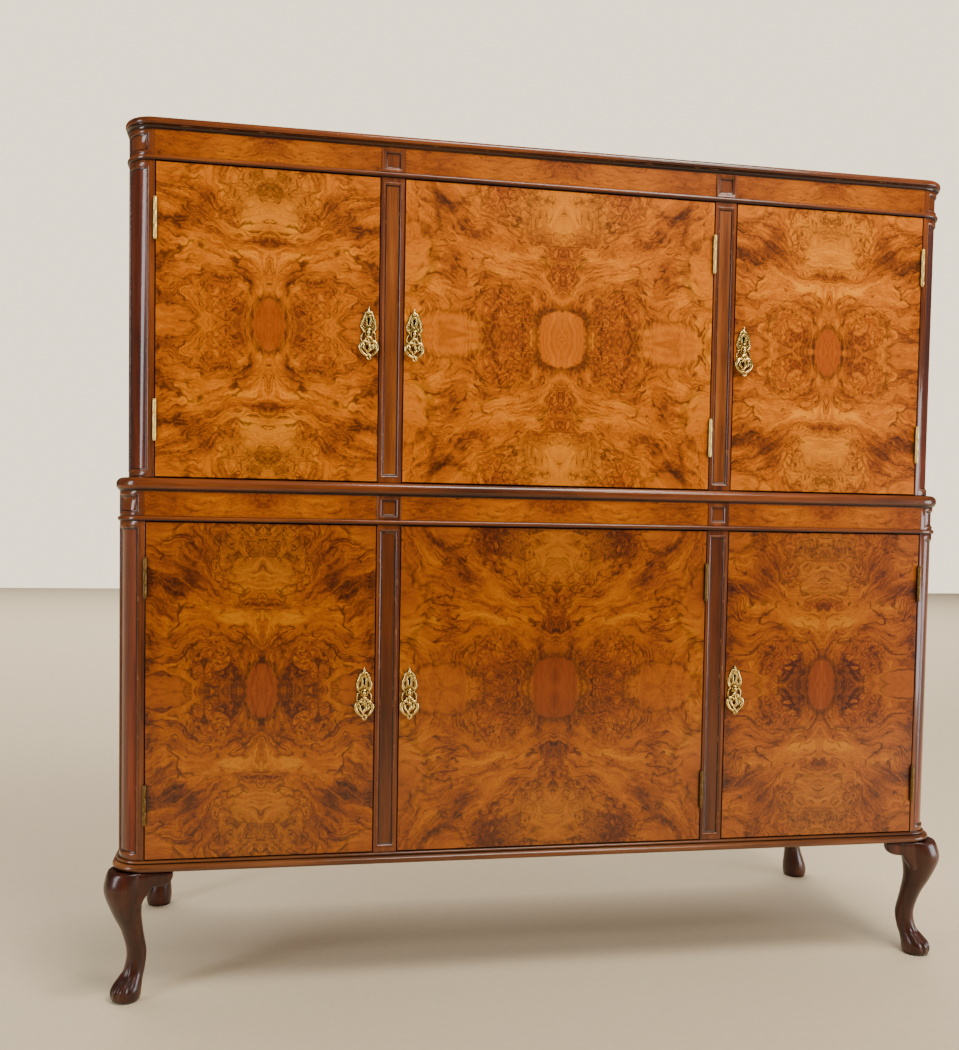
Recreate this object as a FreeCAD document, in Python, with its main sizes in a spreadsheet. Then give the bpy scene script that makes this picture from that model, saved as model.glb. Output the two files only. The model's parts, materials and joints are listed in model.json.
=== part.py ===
# Six-door veneered cabinet on cabriole legs: an upper carcase standing on a slightly wider lower one.
# Millimetres, +Z up, the doors face -Y, and the origin is on the floor below the middle of the cabinet.
import FreeCAD, Part
import os
import re
import Sketcher

# Driving dimensions in millimetres; a name that ends in _turn is in degrees
SIZES = {
    # Carcase
    "carcase_depth": 500,
    "middle_opening": 560,
    "upper_side_opening": 370,
    "lower_side_opening": 384,
    "upper_opening": 515,
    "lower_opening": 567,
    "pilaster_width": 40,
    "post_radius": 43,
    "post_flat": 2,
    "side_thickness": 18,
    "partition_thickness": 18,
    "back_thickness": 8,
    "shelf_thickness": 16,
    # Doors
    "door_thickness": 20,
    "door_gap": 2,
    "stop_gap": 1,
    # Mouldings and friezes
    "base_torus_height": 12,
    "base_torus_proud": 11,
    "base_torus_round": 5.6,
    "base_bead_height": 6,
    "base_bead_proud": 4,
    "base_bead_round": 3.6,
    "bead_height": 8,
    "bead_proud": 3.5,
    "bead_round": 3.3,
    "frieze_height": 41,
    "waist_height": 23,
    "waist_proud": 6,
    "waist_round": 10.5,
    "top_cove_height": 7,
    "top_cove_proud": 2,
    "top_cove_round": 2.4,
    "top_nose_height": 12.5,
    "top_nose_proud": 6.5,
    "top_nose_round": 7.5,
    "top_lip_round": 2,
    # Sunk panels of the posts, pilasters and frieze blocks
    "sunk_depth": 2.5,
    "sunk_margin": 6,
    "sunk_end": 11,
    "post_panel_turn": 66,
    # Hinges
    "hinge_length": 64,
    "hinge_inset": 60,
    "leaf_width": 17,
    "leaf_thickness": 1.6,
    "leaf_gap": 1,
    "knuckle_radius": 3,
    "knuckle_gap": 0.3,
    "barrel_clearance": 0.3,
    "pin_radius": 1.6,
    "pin_head_radius": 2.6,
    "pin_head_height": 2,
    "running_fit": 0.05,
    # Locks
    "lock_width": 40,
    "lock_height": 36,
    "lock_depth": 9,
    "lock_wall": 1.5,
    "bolt_length": 24,
    "bolt_height": 12,
    "bolt_thickness": 5,
    "bolt_throw": 8,
    "bolt_play": 0.3,
    "bolt_setback": 0.5,
    "keyhole_radius": 2.6,
    "keyhole_width": 3,
    "keyhole_length": 11,
    # Pull plates: each rise or drop is measured from the boss that carries the drop
    "pull_backset": 17,
    "pull_sink": 5,
    "plate_thickness": 2,
    "finial_rise": 40.5,
    "finial_radius": 3.5,
    "crown_rise": 33,
    "crown_radius": 8,
    "key_rise": 21,
    "key_lobe_radius": 13,
    "neck_rise": 8,
    "neck_radius": 8.5,
    "boss_radius": 9,
    "scroll_drop": 9,
    "scroll_spread": 8,
    "scroll_radius": 5.5,
    "tail_drop": 13.5,
    "tail_radius": 5,
    "pierce_radius": 2,
    "pierce_spread": 8,
    # Drops
    "pivot_out": 4.2,
    "pivot_radius": 1.2,
    "eye_radius": 2.8,
    "eye_width": 4,
    "eye_gap": 0.3,
    "cheek_thickness": 1.8,
    "stem_radius": 1.6,
    "leaf_knob_drop": 11,
    "leaf_knob_radius": 3.6,
    "ring_drop": 29,
    "ring_radius": 12.6,
    "ring_wire": 2.4,
    "bud_radius": 2.6,
    # Front legs: height of each section, how far it stands in from the corner both ways, and its radius
    "leg_height": 222,
    "crown_section_inset": 20,
    "crown_section_radius": 35,
    "knee_rise": 188,
    "knee_inset": 13,
    "knee_radius": 34,
    "calf_rise": 152,
    "calf_inset": 16,
    "calf_radius": 24.5,
    "shin_rise": 114,
    "shin_inset": 24.5,
    "shin_radius": 17.8,
    "ankle_rise": 76,
    "ankle_inset": 30.5,
    "ankle_radius": 16.5,
    "instep_rise": 48,
    "instep_inset": 28,
    "instep_radius": 17.5,
    "foot_rise": 20,
    "foot_inset": 15.5,
    "foot_radius": 25.5,
    "sole_inset": 17,
    "sole_radius": 22,
    "ear_reach": 94,
    "ear_height": 55,
    "ear_tip": 15,
    "ear_hollow": 50,
    "ear_thickness": 20,
    "ear_proud": 8,
    # Back legs: the same, with a depth that keeps them within the back
    "back_leg_set": 36,
    "back_crown_inset": 32,
    "back_crown_radius": 36,
    "back_knee_rise": 180,
    "back_knee_inset": 30,
    "back_knee_radius": 35,
    "back_calf_rise": 125,
    "back_calf_inset": 31,
    "back_calf_radius": 23,
    "back_ankle_rise": 70,
    "back_ankle_inset": 28,
    "back_ankle_radius": 17,
    "back_foot_rise": 18,
    "back_foot_inset": 21,
    "back_foot_radius": 26,
    "back_sole_inset": 21,
    "back_sole_radius": 23,
}

# Places that follow from the sizes
PLACES = {
    "post_width": "post_radius + post_flat",
    "knee_proud": "knee_radius - knee_inset",
    "front": "(knee_proud - carcase_depth) / 2",
    "back": "front + carcase_depth",
    "inner_front": "front + door_thickness + stop_gap",
    "inner_back": "back - back_thickness",
    "pilaster_inner": "middle_opening / 2",
    "pilaster_outer": "pilaster_inner + pilaster_width",
    "pilaster_middle": "pilaster_inner + pilaster_width / 2",
    "upper_edge": "pilaster_outer + upper_side_opening",
    "lower_edge": "pilaster_outer + lower_side_opening",
    "upper_half": "upper_edge + post_width",
    "lower_half": "lower_edge + post_width",
    "lower_floor": "leg_height + base_torus_height + base_bead_height",
    "lower_head": "lower_floor + lower_opening",
    "lower_frieze_floor": "lower_head + bead_height",
    "lower_top": "lower_frieze_floor + frieze_height",
    "upper_floor": "lower_top + waist_height",
    "upper_head": "upper_floor + upper_opening",
    "upper_frieze_floor": "upper_head + bead_height",
    "upper_top": "upper_frieze_floor + frieze_height",
    "barrel_setback": "knuckle_radius + barrel_clearance",
    "leaf_let_in": "leaf_gap / 2 + leaf_thickness - door_gap / 2",
    "bolt_front": "door_thickness - lock_depth + lock_wall",
    "pivot_depth": "plate_thickness + pivot_out",
}

STAGES = ("upper", "lower")
LEFT, RIGHT = -1, 1
SIDE_NAMES = {LEFT: "left", RIGHT: "right"}
# Turn from +X that each front corner faces
CORNER_TURN = {LEFT: 225, RIGHT: 315}
# Most of a wall that the fillet along one of its two edges takes up
FILLET_SHARE = 0.48
TOUCH = 1e-4

# Which way a simple form points; a twisted one is also turned about itself, so that its seam line keeps clear
# of the seams of the forms that it joins
TURNS = {
    "x": FreeCAD.Rotation(FreeCAD.Vector(0, 1, 0), 90),
    "y": FreeCAD.Rotation(FreeCAD.Vector(1, 0, 0), -90),
    "z": FreeCAD.Rotation(),
    "z_twisted": FreeCAD.Rotation(FreeCAD.Vector(0, 0, 1), 90),
}

doc = FreeCAD.newDocument("SixDoorCabinet")
nodes = []


# The sheets and the formulas that read them

def fill_sheet(name, cells, prefix):
    """Writes named values down one column of a new sheet."""
    sheet = doc.addObject("Spreadsheet::Sheet", name)
    for row, (alias, content) in enumerate(cells.items(), start=1):
        sheet.set(f"A{row}", alias)
        sheet.set(f"B{row}", prefix + content)
        sheet.setAlias(f"B{row}", alias)
    return sheet


def formula(text):
    """Turns the plain names in a formula into references to their cells."""
    def cell(match):
        word = match.group()
        return ("Sizes." if word in SIZES else "Places.") + word
    return re.sub(r"\b[a-z][a-z_]+\b(?!\()", cell, text)


def value(text):
    """The number that a formula comes to."""
    return float(doc.getObject("Sizes").evalExpression(formula(text)))


def near(first, second):
    return abs(first - second) < TOUCH


# Bodies and their features

def new_body(label, x="0", y="0", z="0"):
    """An empty piece whose own origin is placed by three formulas."""
    body = doc.addObject("PartDesign::Body", label)
    body.Label = label
    for axis, text in zip("xyz", (x, y, z)):
        body.setExpression("Placement.Base." + axis, formula(text))
    return body


def primitive(body, kind, name, sizes, base, along="z"):
    """Adds or cuts one simple form, its sizes and place bound to formulas."""
    form = body.newObject("PartDesign::" + kind, name)
    form.Placement = FreeCAD.Placement(FreeCAD.Vector(), TURNS[along])
    for size, text in sizes.items():
        form.setExpression(size, formula(text))
    for axis, text in zip("xyz", base):
        form.setExpression("Placement.Base." + axis, formula(text))
    return form


def add_box(body, name, size, corner=("0", "0", "0")):
    return primitive(body, "AdditiveBox", name, dict(zip(("Length", "Width", "Height"), size)), corner)


def cut_box(body, name, size, corner):
    return primitive(body, "SubtractiveBox", name, dict(zip(("Length", "Width", "Height"), size)), corner)


def add_rod(body, name, radius, length, base, along="z"):
    return primitive(body, "AdditiveCylinder", name, {"Radius": radius, "Height": length}, base, along)


def cut_rod(body, name, radius, length, base, along="z"):
    return primitive(body, "SubtractiveCylinder", name, {"Radius": radius, "Height": length}, base, along)


def round_edges(body, name, radius, chosen):
    """Fillets those edges of the body so far whose boxes pass a test."""
    doc.recompute()
    base = body.Tip
    edges = [f"Edge{n}" for n, edge in enumerate(base.Shape.Edges, start=1) if chosen(edge.BoundBox)]
    fillet = body.newObject("PartDesign::Fillet", name)
    fillet.Base = (base, edges)
    fillet.setExpression("Radius", formula(radius))


def fitted_round(radius, *walls):
    """A fillet radius, limited to its share of each wall that it is cut from."""
    return "min(" + "; ".join([radius] + [f"{FILLET_SHARE} * ({wall})" for wall in walls]) + ")"


def origin_plane(body, role):
    return next(plane for plane in body.Origin.OriginFeatures if plane.Role == role)


def new_sketch(body, name, role):
    """A sketch on one of the body's own origin planes."""
    sketch = body.newObject("Sketcher::SketchObject", name)
    sketch.AttachmentSupport = (origin_plane(body, role), [""])
    sketch.MapMode = "FlatFace"
    return sketch


def shift_sketch(sketch, x="0", y="0", z="0"):
    for axis, text in zip("xyz", (x, y, z)):
        sketch.setExpression("AttachmentOffset.Base." + axis, formula(text))


def constrain(sketch, text, *constraint):
    """Adds a constraint whose size follows a formula."""
    index = sketch.addConstraint(Sketcher.Constraint(*constraint, value(text)))
    sketch.setExpression(f"Constraints[{index}]", formula(text))


def rectangle(sketch, near_x, far_x, low_y, high_y):
    """A rectangle right of the sketch's origin and above it, held by four distances."""
    corners = [(near_x, low_y), (far_x, low_y), (far_x, high_y), (near_x, high_y)]
    points = [FreeCAD.Vector(value(x), value(y), 0) for x, y in corners]
    for start, end in zip(points, points[1:] + points[:1]):
        sketch.addGeometry(Part.LineSegment(start, end))
    for side in range(4):
        sketch.addConstraint(Sketcher.Constraint("Coincident", side, 2, (side + 1) % 4, 1))
        sketch.addConstraint(Sketcher.Constraint("Vertical" if side % 2 else "Horizontal", side))
    constrain(sketch, near_x, "DistanceX", -1, 1, 0, 1)
    constrain(sketch, far_x, "DistanceX", -1, 1, 0, 2)
    constrain(sketch, low_y, "DistanceY", -1, 1, 0, 1)
    constrain(sketch, high_y, "DistanceY", -1, 1, 2, 2)


def sunk_round_panel(body, name, centre_x, centre_y, facing, low, high):
    """Sinks a panel into a quarter-round corner that faces the given turn about its centre."""
    sketch = new_sketch(body, name + "Outline", "XZ_Plane")
    sketch.AttachmentOffset = FreeCAD.Placement(
        FreeCAD.Vector(), FreeCAD.Rotation(FreeCAD.Vector(0, 1, 0), facing))
    shift_sketch(sketch, centre_x, "0", f"-({centre_y})")
    rectangle(sketch, "post_radius - sunk_depth", "post_radius + sunk_depth", low, high)
    groove = body.newObject("PartDesign::Groove", name)
    groove.Profile = sketch
    groove.ReferenceAxis = (sketch, ["V_Axis"])
    groove.Midplane = True
    groove.setExpression("Angle", formula("post_panel_turn"))


def mirror_image(piece):
    """The same piece on the other side of the cabinet's middle plane."""
    image = doc.addObject("Part::Mirroring", piece.Name + "_image")
    image.Source = piece
    image.Normal = FreeCAD.Vector(1, 0, 0)
    return image


def group(label, pieces):
    """One node that holds several separate solids."""
    compound = doc.addObject("Part::Compound", label)
    compound.Label = label
    compound.Links = pieces
    return compound


# Moulded boards

def moulded_layer(body, name, half, proud, floor, height, top_round, bottom_round):
    """One layer of a board: square at the back, rounded at the front corners and along its edges."""
    corner = (f"-{half} - {proud}", f"front - {proud}", floor)
    add_box(body, name, (f"2 * ({half} + {proud})", f"carcase_depth + {proud}", height), corner)
    reach = value(f"{half} + {proud}")
    nose = value(f"front - {proud}")
    low = value(floor)
    high = value(f"{floor} + {height}")

    def front_corner(box):
        return near(box.ZMin, low) and near(box.ZMax, high) and near(box.YMax, nose)

    def along_outline(box, level):
        outer = near(box.YMin, nose) or near(max(-box.XMin, box.XMax), reach)
        level_edge = near(box.ZMin, level) and near(box.ZMax, level)
        return level_edge and outer and not near(box.YMin, value("back"))

    round_edges(body, name + "Corners", f"post_radius + {proud}", front_corner)
    if top_round:
        round_edges(body, name + "TopEdge", top_round, lambda box: along_outline(box, high))
    if bottom_round:
        round_edges(body, name + "BottomEdge", bottom_round, lambda box: along_outline(box, low))


def base_board():
    """The floor of the lower carcase: a torus edge with a small bead above it."""
    board = new_body("base_board")
    ledge = "2 * (base_torus_proud - base_bead_proud)"
    torus_round = fitted_round("base_torus_round", "base_torus_height", ledge)
    bead_round = fitted_round("base_bead_round", "2 * base_bead_height", "2 * base_bead_proud")
    moulded_layer(board, "Bead", "lower_half", "base_bead_proud", "leg_height + base_torus_height",
                  "base_bead_height", bead_round, None)
    moulded_layer(board, "Torus", "lower_half", "base_torus_proud", "leg_height", "base_torus_height",
                  torus_round, torus_round)
    return board


def waist_board():
    """The top of the lower carcase and the floor of the upper one, with a full round edge."""
    board = new_body("waist_board")
    edge = fitted_round("waist_round", "waist_height")
    moulded_layer(board, "Nose", "lower_half", "waist_proud", "lower_top", "waist_height", edge, edge)
    return board


def top_board():
    """The top: a rounded nose over a set-back cove."""
    board = new_body("top_board")
    moulded_layer(board, "Cove", "upper_half", "top_cove_proud", "upper_top", "top_cove_height", None, None)
    moulded_layer(board, "Nose", "upper_half", "top_nose_proud", "upper_top + top_cove_height",
                  "top_nose_height", fitted_round("top_nose_round", "2 * (top_nose_height - top_lip_round)"),
                  fitted_round("top_lip_round", "top_nose_height"))
    junction = value("upper_top + top_cove_height")
    nose = value("front - top_cove_proud")
    reach = value("upper_half + top_cove_proud")

    def inner_corner(box):
        outer = near(box.YMin, nose) or near(max(-box.XMin, box.XMax), reach)
        return near(box.ZMin, junction) and near(box.ZMax, junction) and outer
    hollow = fitted_round("top_cove_round", "2 * top_cove_height",
                          "2 * (top_nose_proud - top_cove_proud - top_lip_round)")
    round_edges(board, "CoveHollow", hollow, inner_corner)
    return board


# Carcase pieces, made alike for both stages

def bead(stage):
    """The thin moulding between the doors and the frieze, returned along the sides."""
    strip = new_body(f"{stage}_bead")
    half = f"{stage}_half"
    head = f"{stage}_head"
    left = f"-{half} - bead_proud"
    nose = "front - bead_proud"
    block = "post_width + bead_proud"
    size = (f"2 * ({half} + bead_proud)", "inner_front - front + bead_proud", "bead_height")
    add_box(strip, "Strip", size, (left, nose, head))
    for side, x in ((LEFT, left), (RIGHT, f"{half} - post_width")):
        add_box(strip, SIDE_NAMES[side] + "Corner", (block, block, "bead_height"), (x, nose, head))
    for side, x in ((LEFT, left), (RIGHT, half)):
        size = ("bead_proud", "carcase_depth - post_width", "bead_height")
        add_box(strip, SIDE_NAMES[side] + "Return", size, (x, "front + post_width", head))
    reach = value(f"{half} + bead_proud")
    front_line = value(nose)

    def front_corner(box):
        return box.ZLength > TOUCH and near(box.YMax, front_line) and near(max(-box.XMin, box.XMax), reach)

    def outline(box):
        outer = near(box.YMin, front_line) or near(max(-box.XMin, box.XMax), reach)
        return box.ZLength < TOUCH and outer and not near(box.YMin, value("back"))

    round_edges(strip, "Corners", "post_radius + bead_proud", front_corner)
    round_edges(strip, "Nose", fitted_round("bead_round", "bead_height", "2 * bead_proud"), outline)
    return strip


def frieze(stage):
    """The frieze rail, with sunk panels over the pilasters and round the corners."""
    rail = new_body(f"{stage}_frieze", z=f"{stage}_frieze_floor")
    half = f"{stage}_half"
    size = (f"2 * {half}", "inner_front - front", "frieze_height")
    add_box(rail, "Rail", size, (f"-{half}", "front", "0"))
    block = ("post_width", "post_width", "frieze_height")
    for side, x in ((LEFT, f"-{half}"), (RIGHT, f"{half} - post_width")):
        add_box(rail, SIDE_NAMES[side] + "Block", block, (x, "front", "0"))
    front_line = value("front")

    def front_corner(box):
        return box.ZLength > TOUCH and near(box.YMax, front_line)

    round_edges(rail, "Corners", "post_radius", front_corner)
    panel = ("pilaster_width - 2 * sunk_margin", "sunk_depth", "frieze_height - 2 * sunk_margin")
    for side, x in ((LEFT, "-pilaster_outer + sunk_margin"), (RIGHT, "pilaster_inner + sunk_margin")):
        cut_box(rail, SIDE_NAMES[side] + "Panel", panel, (x, "front", "sunk_margin"))
    for side, facing in CORNER_TURN.items():
        sunk_round_panel(rail, SIDE_NAMES[side] + "CornerPanel", f"{side} * ({half} - post_radius)",
                         "front + post_radius", facing, "sunk_margin", "frieze_height - sunk_margin")
    return rail


def side_board(stage, side):
    """One end of a carcase, from the corner post to the back."""
    board = new_body(f"{stage}_{SIDE_NAMES[side]}_side")
    x = f"-{stage}_half" if side == LEFT else f"{stage}_half - side_thickness"
    add_box(board, "Board", ("side_thickness", "carcase_depth - post_width", f"{stage}_top - {stage}_floor"),
            (x, "front + post_width", f"{stage}_floor"))
    return board


def back_panel(stage):
    """The thin back, let in between the sides."""
    panel = new_body(f"{stage}_back")
    inner_half = f"({stage}_half - side_thickness)"
    add_box(panel, "Panel", (f"2 * {inner_half}", "back_thickness", f"{stage}_top - {stage}_floor"),
            (f"-{inner_half}", "inner_back", f"{stage}_floor"))
    return panel


def partitions(stage):
    """The two upright boards behind the pilasters."""
    board = new_body(f"{stage}_left_partition")
    size = ("partition_thickness", "inner_back - inner_front", f"{stage}_top - {stage}_floor")
    add_box(board, "Board", size,
            ("-pilaster_middle - partition_thickness / 2", "inner_front", f"{stage}_floor"))
    return group(f"{stage}_partitions", [board, mirror_image(board)])


def hinge_levels(stage):
    """Heights of a door's two hinges above the floor of its opening."""
    return ("door_gap + hinge_inset", f"{stage}_opening - door_gap - hinge_inset - hinge_length")


def corner_posts(stage):
    """Quarter-round posts with a long sunk panel, let in for the hinge leaves."""
    post = new_body(f"{stage}_left_post", f"-{stage}_half + post_radius", "front + post_radius",
                    f"{stage}_floor")
    height = f"{stage}_opening"
    add_box(post, "Block", ("post_width", "post_width", height), ("-post_radius", "-post_radius", "0"))
    outer = value("-post_radius")

    def front_corner(box):
        return box.ZLength > TOUCH and near(box.XMax, outer) and near(box.YMax, outer)

    round_edges(post, "Round", "post_radius", front_corner)
    sunk_round_panel(post, "Panel", "0", "0", CORNER_TURN[LEFT], "sunk_end", f"{height} - sunk_end")
    for number, level in enumerate(hinge_levels(stage)):
        cut_box(post, f"LeafSeat{number}", ("leaf_let_in", "leaf_width", "hinge_length"),
                ("post_flat - leaf_let_in", "-post_radius", level))
    return group(f"{stage}_corner_posts", [post, mirror_image(post)])


def bolt_mortise(pilaster, name, stage, x):
    """A blind hole that a thrown lock bolt enters, level with the keyhole."""
    height = "bolt_height + 2 * bolt_play"
    level = f"{stage}_opening / 2 - pull_sink + key_rise - ({height}) / 2"
    cut_box(pilaster, name, ("bolt_throw", "bolt_thickness + 2 * bolt_play", height),
            (x, "bolt_front - bolt_play", level))


def pilaster(stage, side):
    """A strip between two doors with a long sunk panel and seats for their hinges and bolts."""
    x = "-pilaster_outer" if side == LEFT else "pilaster_inner"
    strip = new_body(f"{stage}_{SIDE_NAMES[side]}_pilaster", x, "front", f"{stage}_floor")
    height = f"{stage}_opening"
    add_box(strip, "Strip", ("pilaster_width", "inner_front - front", height))
    cut_box(strip, "Panel", ("pilaster_width - 2 * sunk_margin", "sunk_depth", f"{height} - 2 * sunk_end"),
            ("sunk_margin", "0", "sunk_end"))
    if side == LEFT:
        bolt_mortise(strip, "SideDoorMortise", stage, "0")
        bolt_mortise(strip, "MiddleDoorMortise", stage, "pilaster_width - bolt_throw")
    else:
        bolt_mortise(strip, "SideDoorMortise", stage, "pilaster_width - bolt_throw")
        seat = ("leaf_let_in", "leaf_width", "hinge_length")
        for number, level in enumerate(hinge_levels(stage)):
            cut_box(strip, f"LeafSeat{number}", seat, ("0", "0", level))
    return strip


def shelves():
    """One shelf at half height in each of the six compartments."""
    boards = []
    depth = "inner_back - inner_front"
    for stage in STAGES:
        level = f"{stage}_floor + {stage}_opening / 2 - shelf_thickness / 2"
        middle = new_body(f"{stage}_middle_shelf", z=level)
        width = "2 * pilaster_middle - partition_thickness"
        add_box(middle, "Board", (width, depth, "shelf_thickness"), (f"-({width}) / 2", "inner_front", "0"))
        side = new_body(f"{stage}_left_shelf", z=level)
        left = f"-{stage}_half + side_thickness"
        right = "-pilaster_middle - partition_thickness / 2"
        add_box(side, "Board", (f"{right} - ({left})", depth, "shelf_thickness"), (left, "inner_front", "0"))
        notch = ("post_width - side_thickness", "front + post_width - inner_front", "shelf_thickness")
        cut_box(side, "PostNotch", notch, (left, "inner_front", "0"))
        boards += [middle, side, mirror_image(side)]
    return group("shelves", boards)


# Legs

def leg_section(body, name, x, y, level, radius):
    """A round cross-section of a leg at one height."""
    sketch = new_sketch(body, name, "XY_Plane")
    shift_sketch(sketch, x, y, level)
    sketch.addGeometry(Part.Circle(FreeCAD.Vector(), FreeCAD.Vector(0, 0, 1), value(radius)))
    sketch.addConstraint(Sketcher.Constraint("Coincident", 0, 3, -1, 1))
    constrain(sketch, radius, "Radius", 0)
    return sketch


def loft(body, sections):
    skin = body.newObject("PartDesign::AdditiveLoft", "Leg")
    skin.Profile = sections[0]
    skin.Sections = sections[1:]


def ear(body, name, size, corner, hollow_centre, hollow_axis):
    """A bracket beside the knee, hollowed to a thin tip."""
    add_box(body, name, size, corner)
    cut_rod(body, name + "Hollow", "ear_hollow", "ear_thickness", hollow_centre, hollow_axis)


def front_legs():
    """Cabriole legs that bow outwards over the corners, with an ear along each rail."""
    leg = new_body("left_front_leg", "-lower_half", "front", "0")
    rises = {"sole": "0", "crown_section": "leg_height"}
    names = ("sole", "foot", "instep", "ankle", "shin", "calf", "knee", "crown_section")
    sections = [leg_section(leg, name, f"{name}_inset", f"{name}_inset", rises.get(name, f"{name}_rise"),
                            f"{name}_radius") for name in names]
    loft(leg, sections)
    low = "leg_height - ear_height"
    hollow_level = "leg_height - ear_tip - ear_hollow"
    length = "ear_reach - knee_inset"
    ear(leg, "FrontEar", (length, "ear_thickness", "ear_height"), ("knee_inset", "-ear_proud", low),
        ("ear_reach", "-ear_proud", hollow_level), "y")
    ear(leg, "SideEar", ("ear_thickness", length, "ear_height"), ("-ear_proud", "knee_inset", low),
        ("-ear_proud", "ear_reach", hollow_level), "x")
    return group("front_legs", [leg, mirror_image(leg)])


def back_legs():
    """Plainer legs that sweep out to the sides only, so that the cabinet stands close to a wall."""
    leg = new_body("left_back_leg", "-lower_half", "back - back_leg_set", "0")
    rises = {"back_sole": "0", "back_crown": "leg_height"}
    names = ("back_sole", "back_foot", "back_ankle", "back_calf", "back_knee", "back_crown")
    sections = [leg_section(leg, name, f"{name}_inset", "0", rises.get(name, f"{name}_rise"),
                            f"{name}_radius") for name in names]
    loft(leg, sections)
    return group("back_legs", [leg, mirror_image(leg)])


# Doors and what they carry

class Door:
    """Formulas for one door: reach is +1 where it runs to +X from its hinges, and -1 where it runs to -X."""

    def __init__(self, stage, place, opening_left, opening_width, reach):
        self.name = f"{stage}_{place}"
        self.stage = stage
        self.reach = reach
        self.width = f"({opening_width} - 2 * door_gap)"
        self.height = f"({stage}_opening - 2 * door_gap)"
        right = f"{opening_left} + {opening_width} - door_gap"
        self.hinge_edge = f"{opening_left} + door_gap" if reach > 0 else right
        self.floor = f"{stage}_floor + door_gap"
        self.boss_level = f"{self.height} / 2 - pull_sink"

    def away(self, start, length):
        """Lowest x of a stretch of the door that starts at a distance from its hinge edge."""
        return start if self.reach > 0 else f"-({start}) - ({length})"

    def at(self, distance):
        """Place across the cabinet of a point at a distance from the hinge edge."""
        return f"{self.hinge_edge} + {self.reach} * ({distance})"

    def body(self, label):
        """An empty piece placed at the foot of the door's hinge edge, on its front face."""
        return new_body(f"{self.name}_{label}", self.hinge_edge, "front", self.floor)


def all_doors():
    doors = []
    for stage in STAGES:
        side_width = f"{stage}_side_opening"
        doors.append(Door(stage, "left", f"-{stage}_edge", side_width, 1))
        doors.append(Door(stage, "middle", "-pilaster_inner", "middle_opening", -1))
        doors.append(Door(stage, "right", "pilaster_outer", side_width, -1))
    return doors


def cut_keyhole(body, x, depth, thickness, level):
    """A round head with a slot below it, cut through a plate."""
    cut_rod(body, "KeyholeHead", "keyhole_radius", thickness, (x, depth, level), "y")
    cut_box(body, "KeyholeSlot", ("keyhole_width", thickness, "keyhole_length"),
            (f"{x} - keyhole_width / 2", depth, f"{level} - keyhole_length"))


def door_panel(door):
    """The veneered door, let in for its hinges and lock and bored for the key."""
    panel = door.body("door")
    add_box(panel, "Panel", (door.width, "door_thickness", door.height),
            (door.away("0", door.width), "0", "0"))
    levels = ("hinge_inset", f"{door.height} - hinge_inset - hinge_length")
    for number, level in enumerate(levels):
        cut_box(panel, f"LeafSeat{number}", ("leaf_let_in", "leaf_width", "hinge_length"),
                (door.away("0", "leaf_let_in"), "0", level))
    lock_start = f"{door.width} - lock_width"
    cut_box(panel, "LockSeat", ("lock_width", "lock_depth", "lock_height"),
            (door.away(lock_start, "lock_width"), "door_thickness - lock_depth",
             f"{door.boss_level} + key_rise - lock_height / 2"))
    cut_keyhole(panel, f"{door.reach} * ({door.width} - pull_backset)", "0", "door_thickness - lock_depth",
                f"{door.boss_level} + key_rise")
    return panel


def lock_case(door):
    """A flat cupboard lock let into the back of the door at its free edge."""
    case = door.body("lock_case")
    start = f"{door.width} - lock_width"
    level = f"{door.boss_level} + key_rise"
    add_box(case, "Case", ("lock_width", "lock_depth", "lock_height"),
            (door.away(start, "lock_width"), "door_thickness - lock_depth", f"{level} - lock_height / 2"))
    room = "bolt_setback + bolt_length + bolt_play"
    cut_box(case, "BoltWay", (room, "bolt_thickness + 2 * bolt_play", "bolt_height + 2 * bolt_play"),
            (door.away(f"{door.width} - ({room})", room), "bolt_front - bolt_play",
             f"{level} - bolt_height / 2 - bolt_play"))
    cut_rod(case, "KeyWay", "keyhole_radius", "lock_wall",
            (f"{door.reach} * ({door.width} - pull_backset)", "door_thickness - lock_depth", level), "y")
    return case


def lock_bolt(door):
    """The bolt, drawn back so that the door is free."""
    bolt = door.body("lock_bolt")
    start = f"{door.width} - bolt_setback - bolt_length"
    add_box(bolt, "Bolt", ("bolt_length", "bolt_thickness", "bolt_height"),
            (door.away(start, "bolt_length"), "bolt_front",
             f"{door.boss_level} + key_rise - bolt_height / 2"))
    return bolt


def hinge_half(label, door, level, side, knuckles):
    """One leaf of a butt hinge with its knuckles; side is the way it lies from the pin."""
    leaf = new_body(label, f"{door.hinge_edge} - {door.reach} * door_gap / 2", "front - barrel_setback",
                    f"{door.stage}_floor + {level}")
    x = "leaf_gap / 2" if side > 0 else "-leaf_gap / 2 - leaf_thickness"
    add_box(leaf, "Leaf", ("leaf_thickness", "leaf_width", "hinge_length"), (x, "barrel_setback", "0"))
    for number, (low, length) in enumerate(knuckles):
        add_box(leaf, f"Neck{number}", ("leaf_thickness", "barrel_setback", length), (x, "0", low))
        add_rod(leaf, f"Knuckle{number}", "knuckle_radius", length, ("0", "0", low))
    cut_rod(leaf, "PinHole", "pin_radius + running_fit", "hinge_length", ("0", "0", "0"))
    return leaf


def door_leaves(door):
    """The two leaves that swing with the door, each with the middle knuckle."""
    knuckle = [("hinge_length / 3 + knuckle_gap / 2", "hinge_length / 3 - knuckle_gap")]
    leaves = [hinge_half(f"{door.name}_door_leaf{number}", door, level, door.reach, knuckle)
              for number, level in enumerate(hinge_levels(door.stage))]
    return group(f"{door.name}_hinge_leaves", leaves)


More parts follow.
